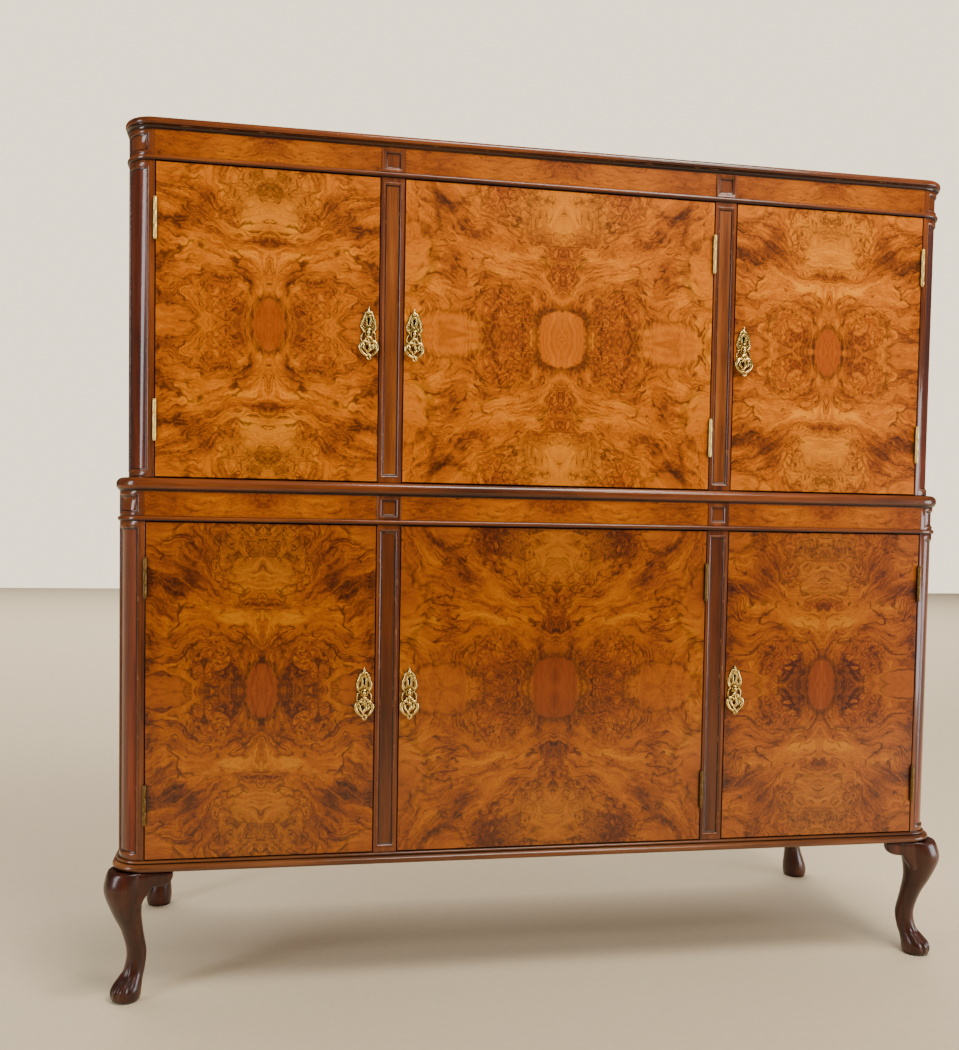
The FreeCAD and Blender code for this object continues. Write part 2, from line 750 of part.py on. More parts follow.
def frame_leaves(doors):
    """The leaves that stay on the posts and pilasters, each with the two end knuckles."""
    length = "hinge_length / 3 - knuckle_gap / 2"
    knuckles = [("0", length), (f"hinge_length - ({length})", length)]
    leaves = [hinge_half(f"{door.name}_frame_leaf{number}", door, level, -door.reach, knuckles)
              for door in doors for number, level in enumerate(hinge_levels(door.stage))]
    return group("hinge_frame_leaves", leaves)


def hinge_pins(doors):
    """The pins, with a small turned head at each end."""
    pins = []
    for door in doors:
        for number, level in enumerate(hinge_levels(door.stage)):
            pin = new_body(f"{door.name}_pin{number}", f"{door.hinge_edge} - {door.reach} * door_gap / 2",
                           "front - barrel_setback", f"{door.stage}_floor + {level}")
            add_rod(pin, "Shank", "pin_radius", "hinge_length", ("0", "0", "0"))
            add_rod(pin, "LowHead", "pin_head_radius", "pin_head_height", ("0", "0", "-pin_head_height"))
            add_rod(pin, "HighHead", "pin_head_radius", "pin_head_height", ("0", "0", "hinge_length"))
            pins.append(pin)
    return group("hinge_pins", pins)


def pull_origin(door, label, depth):
    """An empty piece at the boss of a door's pull, a given depth in front of the door."""
    return new_body(f"{door.name}_{label}", door.at(f"{door.width} - pull_backset"), f"front - {depth}",
                    f"{door.floor} + {door.boss_level}")


def plate_lobe(plate, name, radius, x, level):
    add_rod(plate, name, radius, "plate_thickness", (x, "-plate_thickness", level), "y")


def plate_hole(plate, name, x, level):
    cut_rod(plate, name, "pierce_radius", "plate_thickness", (x, "-plate_thickness", level), "y")


def pull_plate(door):
    """A pierced, lobed plate with a keyhole and two cheeks that hold the pivot of the drop."""
    plate = pull_origin(door, "pull_plate", "0")
    plate_lobe(plate, "BossLobe", "boss_radius", "0", "0")
    plate_lobe(plate, "NeckLobe", "neck_radius", "0", "neck_rise")
    plate_lobe(plate, "KeyLobe", "key_lobe_radius", "0", "key_rise")
    plate_lobe(plate, "CrownLobe", "crown_radius", "0", "crown_rise")
    plate_lobe(plate, "Finial", "finial_radius", "0", "finial_rise")
    plate_lobe(plate, "Tail", "tail_radius", "0", "-tail_drop")
    for side in (LEFT, RIGHT):
        word = SIDE_NAMES[side]
        plate_lobe(plate, word + "Scroll", "scroll_radius", f"{side} * scroll_spread", "-scroll_drop")
    cut_keyhole(plate, "0", "-plate_thickness", "plate_thickness", "key_rise")
    plate_hole(plate, "CrownHole", "0", "crown_rise")
    for side in (LEFT, RIGHT):
        word = SIDE_NAMES[side]
        plate_hole(plate, word + "KeyHole", f"{side} * pierce_spread", "key_rise")
        plate_hole(plate, word + "ScrollHole", f"{side} * scroll_spread", "-scroll_drop")
        inner = "eye_width / 2 + eye_gap"
        x = inner if side == RIGHT else f"-({inner}) - cheek_thickness"
        add_box(plate, word + "Cheek", ("cheek_thickness", "pivot_depth", "2 * eye_radius"),
                (x, "-pivot_depth", "-eye_radius"))
        add_rod(plate, word + "CheekNose", "eye_radius", "cheek_thickness", (x, "-pivot_depth", "0"), "x")
    span = "eye_width + 2 * eye_gap + 2 * cheek_thickness"
    add_rod(plate, "Pivot", "pivot_radius", span, (f"-({span}) / 2", "-pivot_depth", "0"), "x")
    return plate


def pull_drop(door):
    """The hanging drop: an eye on the pivot, a stem with a leaf knob, and a ring with a bud below."""
    drop = pull_origin(door, "pull_drop", "pivot_depth")
    add_rod(drop, "Eye", "eye_radius", "eye_width", ("-eye_width / 2", "0", "0"), "x")
    stem_length = "ring_drop - ring_radius"
    add_rod(drop, "Stem", "stem_radius", f"{stem_length} - eye_radius / 2", ("0", "0", f"-({stem_length})"),
            "z_twisted")
    primitive(drop, "AdditiveSphere", "LeafKnob", {"Radius": "leaf_knob_radius"},
              ("0", "0", "-leaf_knob_drop"), "y")
    primitive(drop, "AdditiveTorus", "Ring", {"Radius1": "ring_radius", "Radius2": "ring_wire"},
              ("0", "0", "-ring_drop"), "y")
    primitive(drop, "AdditiveSphere", "Bud", {"Radius": "bud_radius"},
              ("0", "0", "-ring_drop - ring_radius - ring_wire"), "y")
    cut_rod(drop, "EyeHole", "pivot_radius + running_fit", "eye_width", ("-eye_width / 2", "0", "0"), "x")
    return drop


# The whole cabinet

def build_carcase(doors):
    pieces = [base_board(), waist_board(), top_board()]
    for stage in STAGES:
        pieces += [side_board(stage, LEFT), side_board(stage, RIGHT), back_panel(stage), partitions(stage)]
        pieces += [corner_posts(stage), frieze(stage), bead(stage)]
        pieces.append(group(f"{stage}_pilasters", [pilaster(stage, LEFT), pilaster(stage, RIGHT)]))
    pieces += [shelves(), front_legs(), back_legs(), frame_leaves(doors), hinge_pins(doors)]
    return pieces


def build_door(door):
    return [door_panel(door), door_leaves(door), lock_case(door), lock_bolt(door), pull_plate(door),
            pull_drop(door)]


def check_document():
    """Stops if any step failed or any piece has no sound shape."""
    for item in doc.Objects:
        if "Invalid" in item.State or "Error" in item.State:
            raise RuntimeError(f"{item.Label} failed: {item.State}")
    for node in nodes:
        if node.Shape.isNull() or not node.Shape.isValid() or not node.Shape.Solids:
            raise RuntimeError(f"{node.Label} has no sound shape")


def write_parts():
    os.makedirs("parts", exist_ok=True)
    for node in nodes:
        node.Shape.exportStep(f"parts/{node.Label}.step")
        print(node.Label, len(node.Shape.Solids), round(node.Shape.Volume))


def main():
    fill_sheet("Sizes", {alias: str(number) for alias, number in SIZES.items()}, "")
    doc.recompute()
    fill_sheet("Places", {alias: formula(text) for alias, text in PLACES.items()}, "=")
    doc.recompute()
    doors = all_doors()
    nodes.extend(build_carcase(doors))
    for door in doors:
        nodes.extend(build_door(door))
    doc.recompute()
    check_document()
    write_parts()


main()
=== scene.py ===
"""Looks of a six-door burr walnut cabinet, fitted round its solids. Metres, +Z up, the doors face -Y."""
import json
import math
from collections import namedtuple
import bpy
from mathutils import Matrix, Vector


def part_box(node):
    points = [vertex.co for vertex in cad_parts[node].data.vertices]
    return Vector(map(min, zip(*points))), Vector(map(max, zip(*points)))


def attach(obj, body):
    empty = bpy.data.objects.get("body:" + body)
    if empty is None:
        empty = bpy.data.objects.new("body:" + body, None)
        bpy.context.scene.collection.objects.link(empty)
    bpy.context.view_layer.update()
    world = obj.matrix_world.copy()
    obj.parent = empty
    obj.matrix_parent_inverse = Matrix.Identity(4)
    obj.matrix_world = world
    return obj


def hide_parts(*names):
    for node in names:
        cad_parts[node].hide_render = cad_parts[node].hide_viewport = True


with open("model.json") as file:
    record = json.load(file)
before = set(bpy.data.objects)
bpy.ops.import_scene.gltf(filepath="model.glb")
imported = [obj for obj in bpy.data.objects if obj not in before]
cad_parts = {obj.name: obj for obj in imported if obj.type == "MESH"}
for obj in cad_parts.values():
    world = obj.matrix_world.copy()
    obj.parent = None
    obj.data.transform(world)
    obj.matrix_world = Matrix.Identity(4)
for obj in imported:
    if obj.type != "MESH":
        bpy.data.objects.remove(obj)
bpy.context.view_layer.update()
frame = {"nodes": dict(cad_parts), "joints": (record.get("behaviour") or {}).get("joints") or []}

# Units, in metres and in millimetres
MM = 0.001
PER_METRE = 1000

# Places read from the frame
DOOR_GAP = 2 * MM
STAGES = ("upper", "lower")
DOORS = [f"{stage}_{column}" for stage in STAGES for column in ("left", "middle", "right")]
NODES = frame["nodes"]
JOINTS = {joint["name"]: joint for joint in frame["joints"]}
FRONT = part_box("upper_left_door")[0].y
DOOR_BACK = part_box("upper_left_door")[1].y
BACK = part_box("top_board")[1].y
HALF_WIDTH = {stage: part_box(f"{stage}_corner_posts")[1].x for stage in STAGES}
PILASTER_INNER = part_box("upper_middle_door")[1].x + DOOR_GAP
PILASTER_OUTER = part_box("upper_right_door")[0].x - DOOR_GAP
PILASTER_MIDDLE = (PILASTER_INNER + PILASTER_OUTER) / 2

# Sizes shared with the solids
POST_RADIUS = 43 * MM
SUNK_MARGIN = 6 * MM
SUNK_END = 11 * MM
POST_PANEL_TURN = math.radians(66)
KEY_RISE = 20 * MM
# Reach across and up of the painted shade round the keyhole
KEYHOLE_SHADE = (3.4 * MM, 8.5 * MM)
SIDES = {"left": -1, "right": 1}


def with_settings(thing, settings):
    """Sets several properties of a thing and returns it."""
    for name, setting in settings.items():
        setattr(thing, name, setting)
    return thing


def add_object(name, data):
    """A new object in the scene."""
    made = bpy.data.objects.new(name, data)
    bpy.context.scene.collection.objects.link(made)
    return made


def add_modifier(piece, kind, **settings):
    with_settings(piece.modifiers.new(kind.lower(), kind), settings)


# Node graphs

class Field:
    """A value that varies over a surface; arithmetic on it adds math nodes to its material."""

    def __init__(self, paint, socket):
        self.paint = paint
        self.socket = socket

    def __add__(self, other):
        return self.paint.math("ADD", self, other)

    def __sub__(self, other):
        return self.paint.math("SUBTRACT", self, other)

    def __rsub__(self, other):
        return self.paint.math("SUBTRACT", other, self)

    def __mul__(self, other):
        return self.paint.math("MULTIPLY", self, other)

    def __truediv__(self, other):
        return self.paint.math("DIVIDE", self, other)

    def __abs__(self):
        return self.paint.math("ABSOLUTE", self)

    __radd__ = __add__
    __rmul__ = __mul__


class Paint:
    """One material and the node graph that colours it."""

    def __init__(self, name):
        self.material = bpy.data.materials.new(name)
        self.material.use_nodes = True
        self.tree = self.material.node_tree
        self.shader = self.tree.nodes["Principled BSDF"]

    def node(self, kind, **settings):
        return with_settings(self.tree.nodes.new("ShaderNode" + kind), settings)

    def put(self, socket, content):
        """Puts a number, a colour or a field into an input."""
        if isinstance(content, Field):
            self.tree.links.new(content.socket, socket)
        else:
            socket.default_value = content

    def math(self, operation, *terms):
        made = self.node("Math", operation=operation)
        for socket, term in zip(made.inputs, terms):
            self.put(socket, term)
        return Field(self, made.outputs[0])

    def place(self):
        """The three coordinates of a point of the piece at rest."""
        made = self.node("SeparateXYZ")
        self.tree.links.new(self.node("TexCoord").outputs["Object"], made.inputs[0])
        return [Field(self, output) for output in made.outputs]

    def texture(self, made, place, **amounts):
        """Reads a texture node at a place that is already scaled."""
        point = self.node("CombineXYZ")
        for socket, term in zip(point.inputs, place):
            self.put(socket, term)
        self.tree.links.new(point.outputs[0], made.inputs["Vector"])
        for name, amount in {"Scale": 1.0, **amounts}.items():
            made.inputs[name].default_value = amount
        return made

    def noise(self, x, y=0.0, z=0.0, detail=2.0, roughness=0.5):
        """Smooth noise from 0 to 1."""
        made = self.texture(self.node("TexNoise"), (x, y, z), Detail=detail, Roughness=roughness)
        return Field(self, made.outputs[0])

    def speckle(self, scale, shift=0.0, detail=2.0, roughness=0.5):
        """Noise with no direction."""
        x, y, z = self.place()
        return self.noise(x * scale, y * scale, z * scale + shift, detail, roughness)

    def cells(self, x, y, z):
        """Distance to the nearest of many scattered points."""
        made = self.texture(self.node("TexVoronoi", feature="SMOOTH_F1"), (x, y, z), Smoothness=0.4)
        return Field(self, made.outputs["Distance"])

    def step(self, field, low, high):
        """Runs smoothly from 0 to 1 as the field passes from low to high."""
        made = self.node("MapRange", interpolation_type="SMOOTHSTEP")
        for socket, term in (("Value", field), ("From Min", low), ("From Max", high)):
            self.put(made.inputs[socket], term)
        return Field(self, made.outputs[0])

    def highest(self, fields):
        result = fields[0]
        for field in fields[1:]:
            result = self.math("MAXIMUM", result, field)
        return result

    def ramp(self, field, colours):
        """Colours spread evenly from 0 to 1."""
        made = self.node("ValToRGB")
        elements = made.color_ramp.elements
        while len(elements) < len(colours):
            elements.new(0.5)
        for number, (element, colour) in enumerate(zip(elements, colours)):
            element.position = number / (len(colours) - 1)
            element.color = colour
        self.put(made.inputs[0], field)
        return Field(self, made.outputs[0])

    def mix(self, share, first, second, blend="MIX"):
        """Two colours mixed; the node's colour sockets come after those for numbers and vectors."""
        made = self.node("Mix", data_type="RGBA", blend_type=blend)
        for socket, content in ((0, share), (6, first), (7, second)):
            self.put(made.inputs[socket], content)
        return Field(self, made.outputs[2])

    def finish(self, colour, roughness, height=None, depth=0.0, **constants):
        """Joins the colour, roughness and bump to the shader and returns the material."""
        self.put(self.shader.inputs["Base Color"], colour)
        self.put(self.shader.inputs["Roughness"], roughness)
        if height is not None:
            bump = self.node("Bump")
            bump.inputs["Distance"].default_value = depth
            self.put(bump.inputs["Height"], height)
            self.tree.links.new(bump.outputs[0], self.shader.inputs["Normal"])
        for name, value in constants.items():
            self.shader.inputs[name.replace("_", " ")].default_value = value
        return self.material


def shade(red, green, blue):
    """A colour given in display values from 0 to 255, as shaders take it."""
    def linear(value):
        share = value / 255
        return share / 12.92 if share <= 0.04045 else ((share + 0.055) / 1.055) ** 2.4
    return (linear(red), linear(green), linear(blue), 1.0)


def shades(*colours):
    """Several colours given in the same way."""
    return [shade(*colour) for colour in colours]


# Burr veneer

# A feature in one quarter of a matched figure: its centre and reach are shares of the half width and the
# half height, its tilt is in degrees
Spot = namedtuple("Spot", "kind across up wide high tilt", defaults=(0,))


def figure_of(**groups):
    """The features of a figure, given by kind."""
    return [Spot(kind, *place) for kind, places in groups.items() for place in places]


MIDDLE_FIGURE = figure_of(
    heart=[(0, 0, 0.165, 0.2)],
    lobe=[(0.72, 0, 0.25, 0.16), (1.02, 0.5, 0.2, 0.24), (0.7, 1.03, 0.15, 0.16)],
    burr=[(0.36, 0.13, 0.19, 0.22)],
    knot=[(0, 0.42, 0.08, 0.1), (0, 0.58, 0.11, 0.07), (0.34, 0.93, 0.2, 0.16), (0.14, 0.68, 0.1, 0.06)],
    bell=[(0, 0.85, 0.42, 0.24)],
    eye=[(0.16, 0.77, 0.06, 0.06)],
    smear=[(0.56, 0.7, 0.2, 0.08, 35), (0.8, 0.9, 0.22, 0.05, 35), (0.28, 0.61, 0.09, 0.04, 20),
           (0.68, 0.42, 0.06, 0.2, -12), (0.5, 0.4, 0.07, 0.04), (0.16, 0.25, 0.08, 0.12, -40)],
    light=[(0.3, 0.58, 0.26, 0.05, 18), (0.4, 0.45, 0.2, 0.03, 4), (0.06, 0.78, 0.1, 0.14),
           (0.9, 0.5, 0.12, 0.3)])
SIDE_FIGURE = figure_of(
    core=[(0, 0, 0.155, 0.175)],
    lobe=[(0.98, 1.0, 0.26, 0.14), (0.9, 0.04, 0.24, 0.06)],
    burr=[(0.42, 0.18, 0.22, 0.14)],
    knot=[(0, 0.53, 0.2, 0.035), (0.26, 0.93, 0.2, 0.08), (0.34, 0.74, 0.09, 0.12),
          (0.06, 0.86, 0.12, 0.05)],
    bell=[(0, 0.82, 0.46, 0.28)],
    eye=[(0.18, 0.76, 0.08, 0.05), (0, 0.34, 0.07, 0.08)],
    smear=[(0.85, 0.64, 0.26, 0.06, 6), (0.6, 0.78, 0.1, 0.12, 10), (0.97, 0.3, 0.1, 0.24),
           (0.3, 0.1, 0.12, 0.07, -45), (0.07, 0.52, 0.12, 0.025), (0.23, 0, 0.1, 0.1)],
    light=[(0.5, 0.48, 0.46, 0.05, 7), (0.14, 0.66, 0.22, 0.09), (0.25, 0.42, 0.2, 0.03, 7)])
FRIEZE_FIGURE = figure_of(
    burr=[(0, 1.1, 0.2, 0.7)], smear=[(0.85, 0.5, 0.2, 0.8)], light=[(0.35, 0.2, 0.2, 0.8)])
# How a door's figure is matched: bow bends its flow, a high heart power squares its heart
Match = namedtuple("Match", "spots seed bow heart_power")
MIDDLE_MATCH = Match(MIDDLE_FIGURE, 40.0, 0.5, 2.8)
SIDE_MATCH = Match(SIDE_FIGURE, 10.0, 0.14, 2.0)
SEED_STEP = 0.15
BURR_COLOURS = shades((58, 25, 4), (114, 53, 6), (164, 82, 4), (197, 107, 2), (217, 132, 4))
PLAIN_COLOURS = shades((148, 70, 6), (182, 93, 8), (206, 118, 14))
CORE_COLOURS = shades((116, 48, 6), (150, 67, 8), (182, 90, 15))
BURR_RED = shade(150, 64, 8)
BURR_RED_SHARE = 0.24
BELL_OLIVE = shade(188, 116, 16)
BELL_OLIVE_SHARE = 0.3
INK = shade(48, 18, 3)
# The lower stage has the darker veneer, partly its own tone and partly painted shade where less light
# reaches; the friezes are darkened as painted shade under the mouldings above them
LOWER_TINT_AND_SHADE = (0.63, 0.6, 1.5, 1.0)
FRIEZE_SHADE_TINT = (0.72, 0.68, 1.0, 1.0)
# How the flow of the figure goes round each kind of feature: over it if negative, below it if positive
BEND = {"heart": 0.5, "core": 0.4, "lobe": 0.3, "burr": -0.5, "knot": 0.3, "bell": 0.45, "eye": 0.4,
        "smear": 0.0, "light": 0.0}
# Where plain wood and its dark rim start and end, from the centre of a spot, and how much each covers
Cover = namedtuple("Cover", "rim_start rim_end rim_share wood_end wood_share")
HEART_COVER = Cover((0.86, 0.98), (1.0, 1.3), 0.55, (0.84, 1.0), 0.86)
LOBE_COVER = Cover((0.86, 1.0), (1.0, 1.2), 0.4, (0.7, 1.02), 0.55)
# How far the veneer strays from a true match, as a share and in metres
DRIFT = 0.08
SLOW_WARP, FAST_WARP = 0.034, 0.018


class BurrFigure:
    """A burr figure matched about a centre, drawn as bands along the level lines of a field of hills."""

    def __init__(self, paint, across, up, half_width, half_height, seed, bow, heart_power=2.0):
        self.paint = paint
        drift = paint.noise(across * 5, up * 5, seed)
        side_drift = paint.noise(across * 5, up * 5, seed + 9.0)
        self.across = abs(across) * (1.0 - DRIFT / 2 + drift * DRIFT)
        self.up = abs(up) * (1.0 - DRIFT / 2 + side_drift * DRIFT)
        self.seed = seed
        self.bow = bow
        self.heart_power = heart_power
        self.slow = self.pair(12, 2)
        self.fast = self.pair(52, 2)
        warp = [(slow - 0.5) * SLOW_WARP + (fast - 0.5) * FAST_WARP
                for slow, fast in zip(self.slow, self.fast)]
        self.warped = (self.across + warp[0], self.up + warp[1])
        self.loose = (self.warped[0] / half_width, self.warped[1] / half_height)
        self.firm = (self.across / half_width, self.up / half_height)
        self.reach = self.warped[0] * 15 + self.warped[1] * 11

    def pair(self, scale, detail):
        """Two unlike noises that follow the match."""
        return [self.paint.noise(self.across * scale, self.up * scale, self.seed + shift, detail)
                for shift in (3.0, 17.0)]

    def fine(self, scale, shift, detail):
        """Noise on the warped veneer, from -1 to 1 about its middle."""
        across, up = self.warped
        return (self.paint.noise(across * scale, up * scale, self.seed + shift, detail) - 0.5) * 2.0

    def far(self, spot, place, power=2.0):
        """How far a point lies from a spot: 0 at its centre, 1 at its rim; a high power squares it."""
        across = place[0] - spot.across
        up = place[1] - spot.up
        if spot.tilt:
            lean, rise = math.cos(math.radians(spot.tilt)), math.sin(math.radians(spot.tilt))
            across, up = across * lean + up * rise, up * lean - across * rise
        across = self.paint.math("POWER", abs(across / spot.wide), power)
        up = self.paint.math("POWER", abs(up / spot.high), power)
        return self.paint.math("POWER", across + up, 1 / power)

    def hill(self, spot):
        """A round hill over a spot, 1 at its centre."""
        far = self.far(spot, self.loose)
        return self.paint.math("EXPONENT", far * far * -1.0)

    def level(self, field, shift, detail=1.0):
        """Noise drawn out along the level lines of a field, from -1 to 1."""
        return (self.paint.noise(field, self.reach, self.seed + shift, detail) - 0.5) * 2.0

    def flow_height(self, hills):
        """The field that the flow follows: a bowed slope that bends round each feature."""
        across, up = self.loose
        height = up - across * across * self.bow + self.slow[0] * 0.3
        for kind, bend in BEND.items():
            for hill in hills[kind]:
                height = height + hill * bend
        return height

    def tone(self, hills, height, burr, swirl):
        """The light and dark of the figure: bands along the flow, curls in the burr, and smears."""
        bands = self.level(height * 7.0, 21.0, 2.0)
        lines = self.level(height * 24.0, 33.0, 2.0)
        threads = self.level(height * 90.0, 37.0)
        curls = self.level(swirl * 5.0, 51.0, 2.0)
        specks = self.fine(210, 47.0, 2.0)
        cloud = (self.slow[1] - 0.5) * 2.0
        flow_tone = bands * 0.36 + lines * 0.34 + threads * 0.3 + specks * 0.24 + cloud * 0.28
        burr_tone = curls * 0.85 + specks * 0.3 + cloud * 0.25 - 0.1
        tone = flow_tone * (1.0 - burr) + burr_tone * burr
        for hill in hills["light"]:
            tone = tone + hill * 0.16
        for hill in hills["smear"]:
            tone = tone - hill * (self.fast[1] * 0.5 + lines * 0.35 - 0.02)
        return tone

    def colour(self, spots, contrast=1.0):
        """The whole figure: flowing bands, burr clusters, dark smears, ink lines and plain lobes."""
        paint = self.paint
        hills = {kind: [self.hill(spot) for spot in spots if spot.kind == kind] for kind in BEND}
        height = self.flow_height(hills)
        burr_hill = paint.highest(hills["burr"] + hills["knot"]) + (self.fast[0] - 0.5) * 0.6
        burr = paint.step(burr_hill, 0.25, 0.65)
        knots = paint.cells(self.warped[0] * 58, self.warped[1] * 58, self.seed)
        swirl = knots * 1.2 + self.fine(50, 41.0, 1.0) * 0.6
        figure = paint.ramp(self.tone(hills, height, burr, swirl) * contrast + 0.57, BURR_COLOURS)
        figure = paint.mix(burr * BURR_RED_SHARE, figure, BURR_RED)
        bell_hill = 0.0
        if hills["bell"]:
            bell_hill = paint.highest(hills["bell"])
            olive = paint.step(bell_hill, 0.25, 0.8) * BELL_OLIVE_SHARE
            figure = paint.mix(olive, figure, BELL_OLIVE)
        ink = self.ink(height, burr_hill, bell_hill, swirl, knots) * contrast
        return self.add_plain(paint.mix(ink, figure, INK), spots)

    def thin(self, field, width):
        """A thin line wherever a field passes through its middle."""
        return 1.0 - self.paint.step(abs(field), 0.0, width)

    def ink(self, height, burr_hill, bell_hill, swirl, knots):
        """Thin dark lines round the burr and along the flow, and the dark hearts of the knots."""
        paint = self.paint
        patches = paint.step(self.fast[1], 0.36, 0.6)
        gaps = paint.step(self.fine(26, 91.0, 2.0), -0.2, 0.3)
        in_burr = paint.step(burr_hill, 0.2, 0.5)
        shore = self.thin(burr_hill - 0.34 + (swirl - 0.6) * 0.25, 0.06)
        crack = self.thin((swirl - 0.6) * 0.3 + self.fine(30, 97.0, 2.0) * 0.2 + bell_hill - 0.42, 0.05)
        bold = self.thin(self.level(height * 7.0 + swirl * 0.2, 61.0), 0.07) * patches
        slight = self.thin(self.level(height * 19.0 + swirl * 0.3, 67.0), 0.1) * gaps
        worm = self.thin(self.fine(84, 71.0, 1.0), 0.09) * in_burr
        curl = self.thin(self.level(swirl * 4.0, 77.0), 0.09) * in_burr * gaps
        pips = (1.0 - paint.step(knots, 0.1, 0.24)) * in_burr
        return paint.highest([shore * patches * 0.7, crack * 0.6, bold * 0.78, slight * 0.62, worm * 0.62,
                              curl * 0.6, pips * 0.5])

    def add_plain(self, figure, spots):
        """Lays the plain heart with its dark scalloped rim and the softer lobes over the figure."""
        paint = self.paint
        across, up = self.warped
        upright = paint.noise(across * 190, up * 8, self.seed, 3.0)
        level = paint.noise(across * 9, up * 110, self.seed, 3.0)
        shine = self.slow[1] * 0.5 - 0.2
        woods = {"heart": paint.ramp((upright - 0.5) * 1.8 + 0.34 + shine, PLAIN_COLOURS),
                 "core": paint.ramp((upright - 0.5) * 1.8 + 0.4 + shine, CORE_COLOURS),
                 "lobe": paint.ramp((level - 0.5) * 1.6 + 0.42 + shine, PLAIN_COLOURS)}
        scallop = self.fine(110, 81.0, 1.0) * 0.15
        ragged = (self.fast[1] - 0.5) * 0.7
        for spot in spots:
            if spot.kind in ("heart", "core"):
                far = self.far(spot, self.firm, self.heart_power) + scallop
                figure = self.lay(figure, woods[spot.kind], far, HEART_COVER)
            if spot.kind == "lobe":
                far = self.far(spot, self.firm) + ragged
                figure = self.lay(figure, woods["lobe"], far, LOBE_COVER)
        return figure

    def lay(self, figure, wood, far, cover):
        """Lays plain wood and its dark rim over the figure."""
        step = self.paint.step
        rim = step(far, *cover.rim_start) * (1.0 - step(far, *cover.rim_end)) * cover.rim_share
        figure = self.paint.mix(rim, figure, INK)
        return self.paint.mix((1.0 - step(far, *cover.wood_end)) * cover.wood_share, figure, wood)


PORE_DEPTH = 0.12 * MM
GRIT_DEPTH = 0.08 * MM
FILE_MARK_DEPTH = 0.05 * MM
# How near walls make a hollow dark with old polish and painted shade in wood or with tarnish in brass,
# and how near an edge polish is rubbed off
GRIME_AND_SHADE_REACH = 8 * MM
TARNISH_REACH = 3.5 * MM
RUBBED_REACH = 1.2 * MM
# The depths between which veneer gives way to solid wood, and a face to its sunk panel
VENEER_DEPTHS = (0.3 * MM, 0.9 * MM)
SUNK_DEPTHS = (1.2 * MM, 2.0 * MM)
# Half the height over which one tone passes into another
SHADE_FADE = 0.7 * MM
BRASS_DARK_FADE = 5 * MM


def polish(paint, colour, pores, blur=0.1):
    """Old gloss polish: a clear coat over a softer ground, broken by pores."""
    roughness = 0.34 + paint.speckle(21, detail=3.0) * 0.2
    return paint.finish(colour, roughness, pores, PORE_DEPTH, Coat_Weight=0.75, Coat_Roughness=blur,
                        Specular_IOR_Level=0.1)


def nearness(paint, distance, inside):
    """How much of the space near a point is filled, or, seen from inside, is empty: hollows or edges."""
    made = paint.node("AmbientOcclusion", samples=8, inside=inside)
    made.inputs["Distance"].default_value = distance
    return 1.0 - Field(paint, made.outputs["AO"])


def aged(paint, colour, seed, wear=0.25):
    """Darkens the hollows with old polish and painted shade, and rubs the edges bare in places."""
    # Old polish and painted shade: hollows darken with how much of the space near them is filled
    grime_and_shade = paint.step(nearness(paint, GRIME_AND_SHADE_REACH, inside=False), 0.1, 0.5)
    rubbed = paint.step(paint.speckle(60, seed, 4.0, 0.65), 0.54, 0.7)
    edge = paint.step(nearness(paint, RUBBED_REACH, inside=True), 0.25, 0.55)
    return paint.mix(edge * rubbed * wear, paint.mix(grime_and_shade * 0.88, colour, GRIME_AND_SHADE), BARE)


def grain_tone(paint, along, seed):
    """Straight grain that runs along one axis, and its pores."""
    coarse = {True: 2.2, False: 42.0}
    fine = {True: 22.0, False: 620.0}
    place = dict(zip("xyz", paint.place()))
    wide = [field * coarse[axis == along] + seed for axis, field in place.items()]
    narrow = [field * fine[axis == along] + seed for axis, field in place.items()]
    return paint.noise(*wide, 4.0, 0.6), paint.noise(*narrow, 2.0)


WALNUT_COLOURS = shades((36, 14, 5), (76, 34, 11), (118, 58, 19), (152, 84, 32))
BASE_COLOURS = shades((40, 19, 9), (78, 40, 17), (114, 65, 30), (146, 92, 48))
DARK_COLOURS = shades((22, 7, 3), (46, 17, 7), (70, 28, 11), (98, 44, 18))
POST_PANEL_COLOURS = shades((24, 8, 4), (68, 25, 9), (112, 46, 17), (146, 70, 28))
PILASTER_PANEL_COLOURS = {
    "upper": shades((54, 24, 8), (98, 48, 15), (134, 72, 25), (162, 96, 40)),
    # The lower stage's panels are darker, partly their own tone and partly painted shade
    "lower": shades((36, 14, 5), (68, 30, 10), (96, 46, 16), (120, 64, 26))}
# Near black, as painted shade in the quirks of the sunk panels
QUIRK_SHADE_COLOURS = shades((12, 6, 4), (26, 12, 7), (44, 22, 12))
# The dark of old polish, and of painted shade in hollows, under mouldings and in keyholes
GRIME_AND_SHADE = shade(24, 9, 4)
BARE = shade(196, 138, 78)
INNER_COLOURS = shades((104, 58, 26), (146, 90, 44), (176, 118, 64))


def wood_tone(paint, along, seed):
    """The light and dark of straight-grained wood, and its pores."""
    rough, pores = grain_tone(paint, along, seed)
    return rough * 1.5 + pores * 0.4 + paint.speckle(6, seed) * 0.4 - 0.65, pores


def straight_wood(name, along, colours, seed=0.0, wear=0.2, shaded_below=None, blur=0.15):
    """Solid wood with straight grain along one axis; painted shade can darken it below a level."""
    paint = Paint(name)
    tone, pores = wood_tone(paint, along, seed)
    wood = paint.ramp(tone, colours)
    if shaded_below:
        # Painted shade on the underside of a moulding
        z = paint.place()[2]
        low = 1.0 - paint.step(z, shaded_below - SHADE_FADE, shaded_below + SHADE_FADE)
        wood = paint.mix(low * 0.8, wood, GRIME_AND_SHADE)
    return polish(paint, aged(paint, wood, seed, wear), pores, blur)


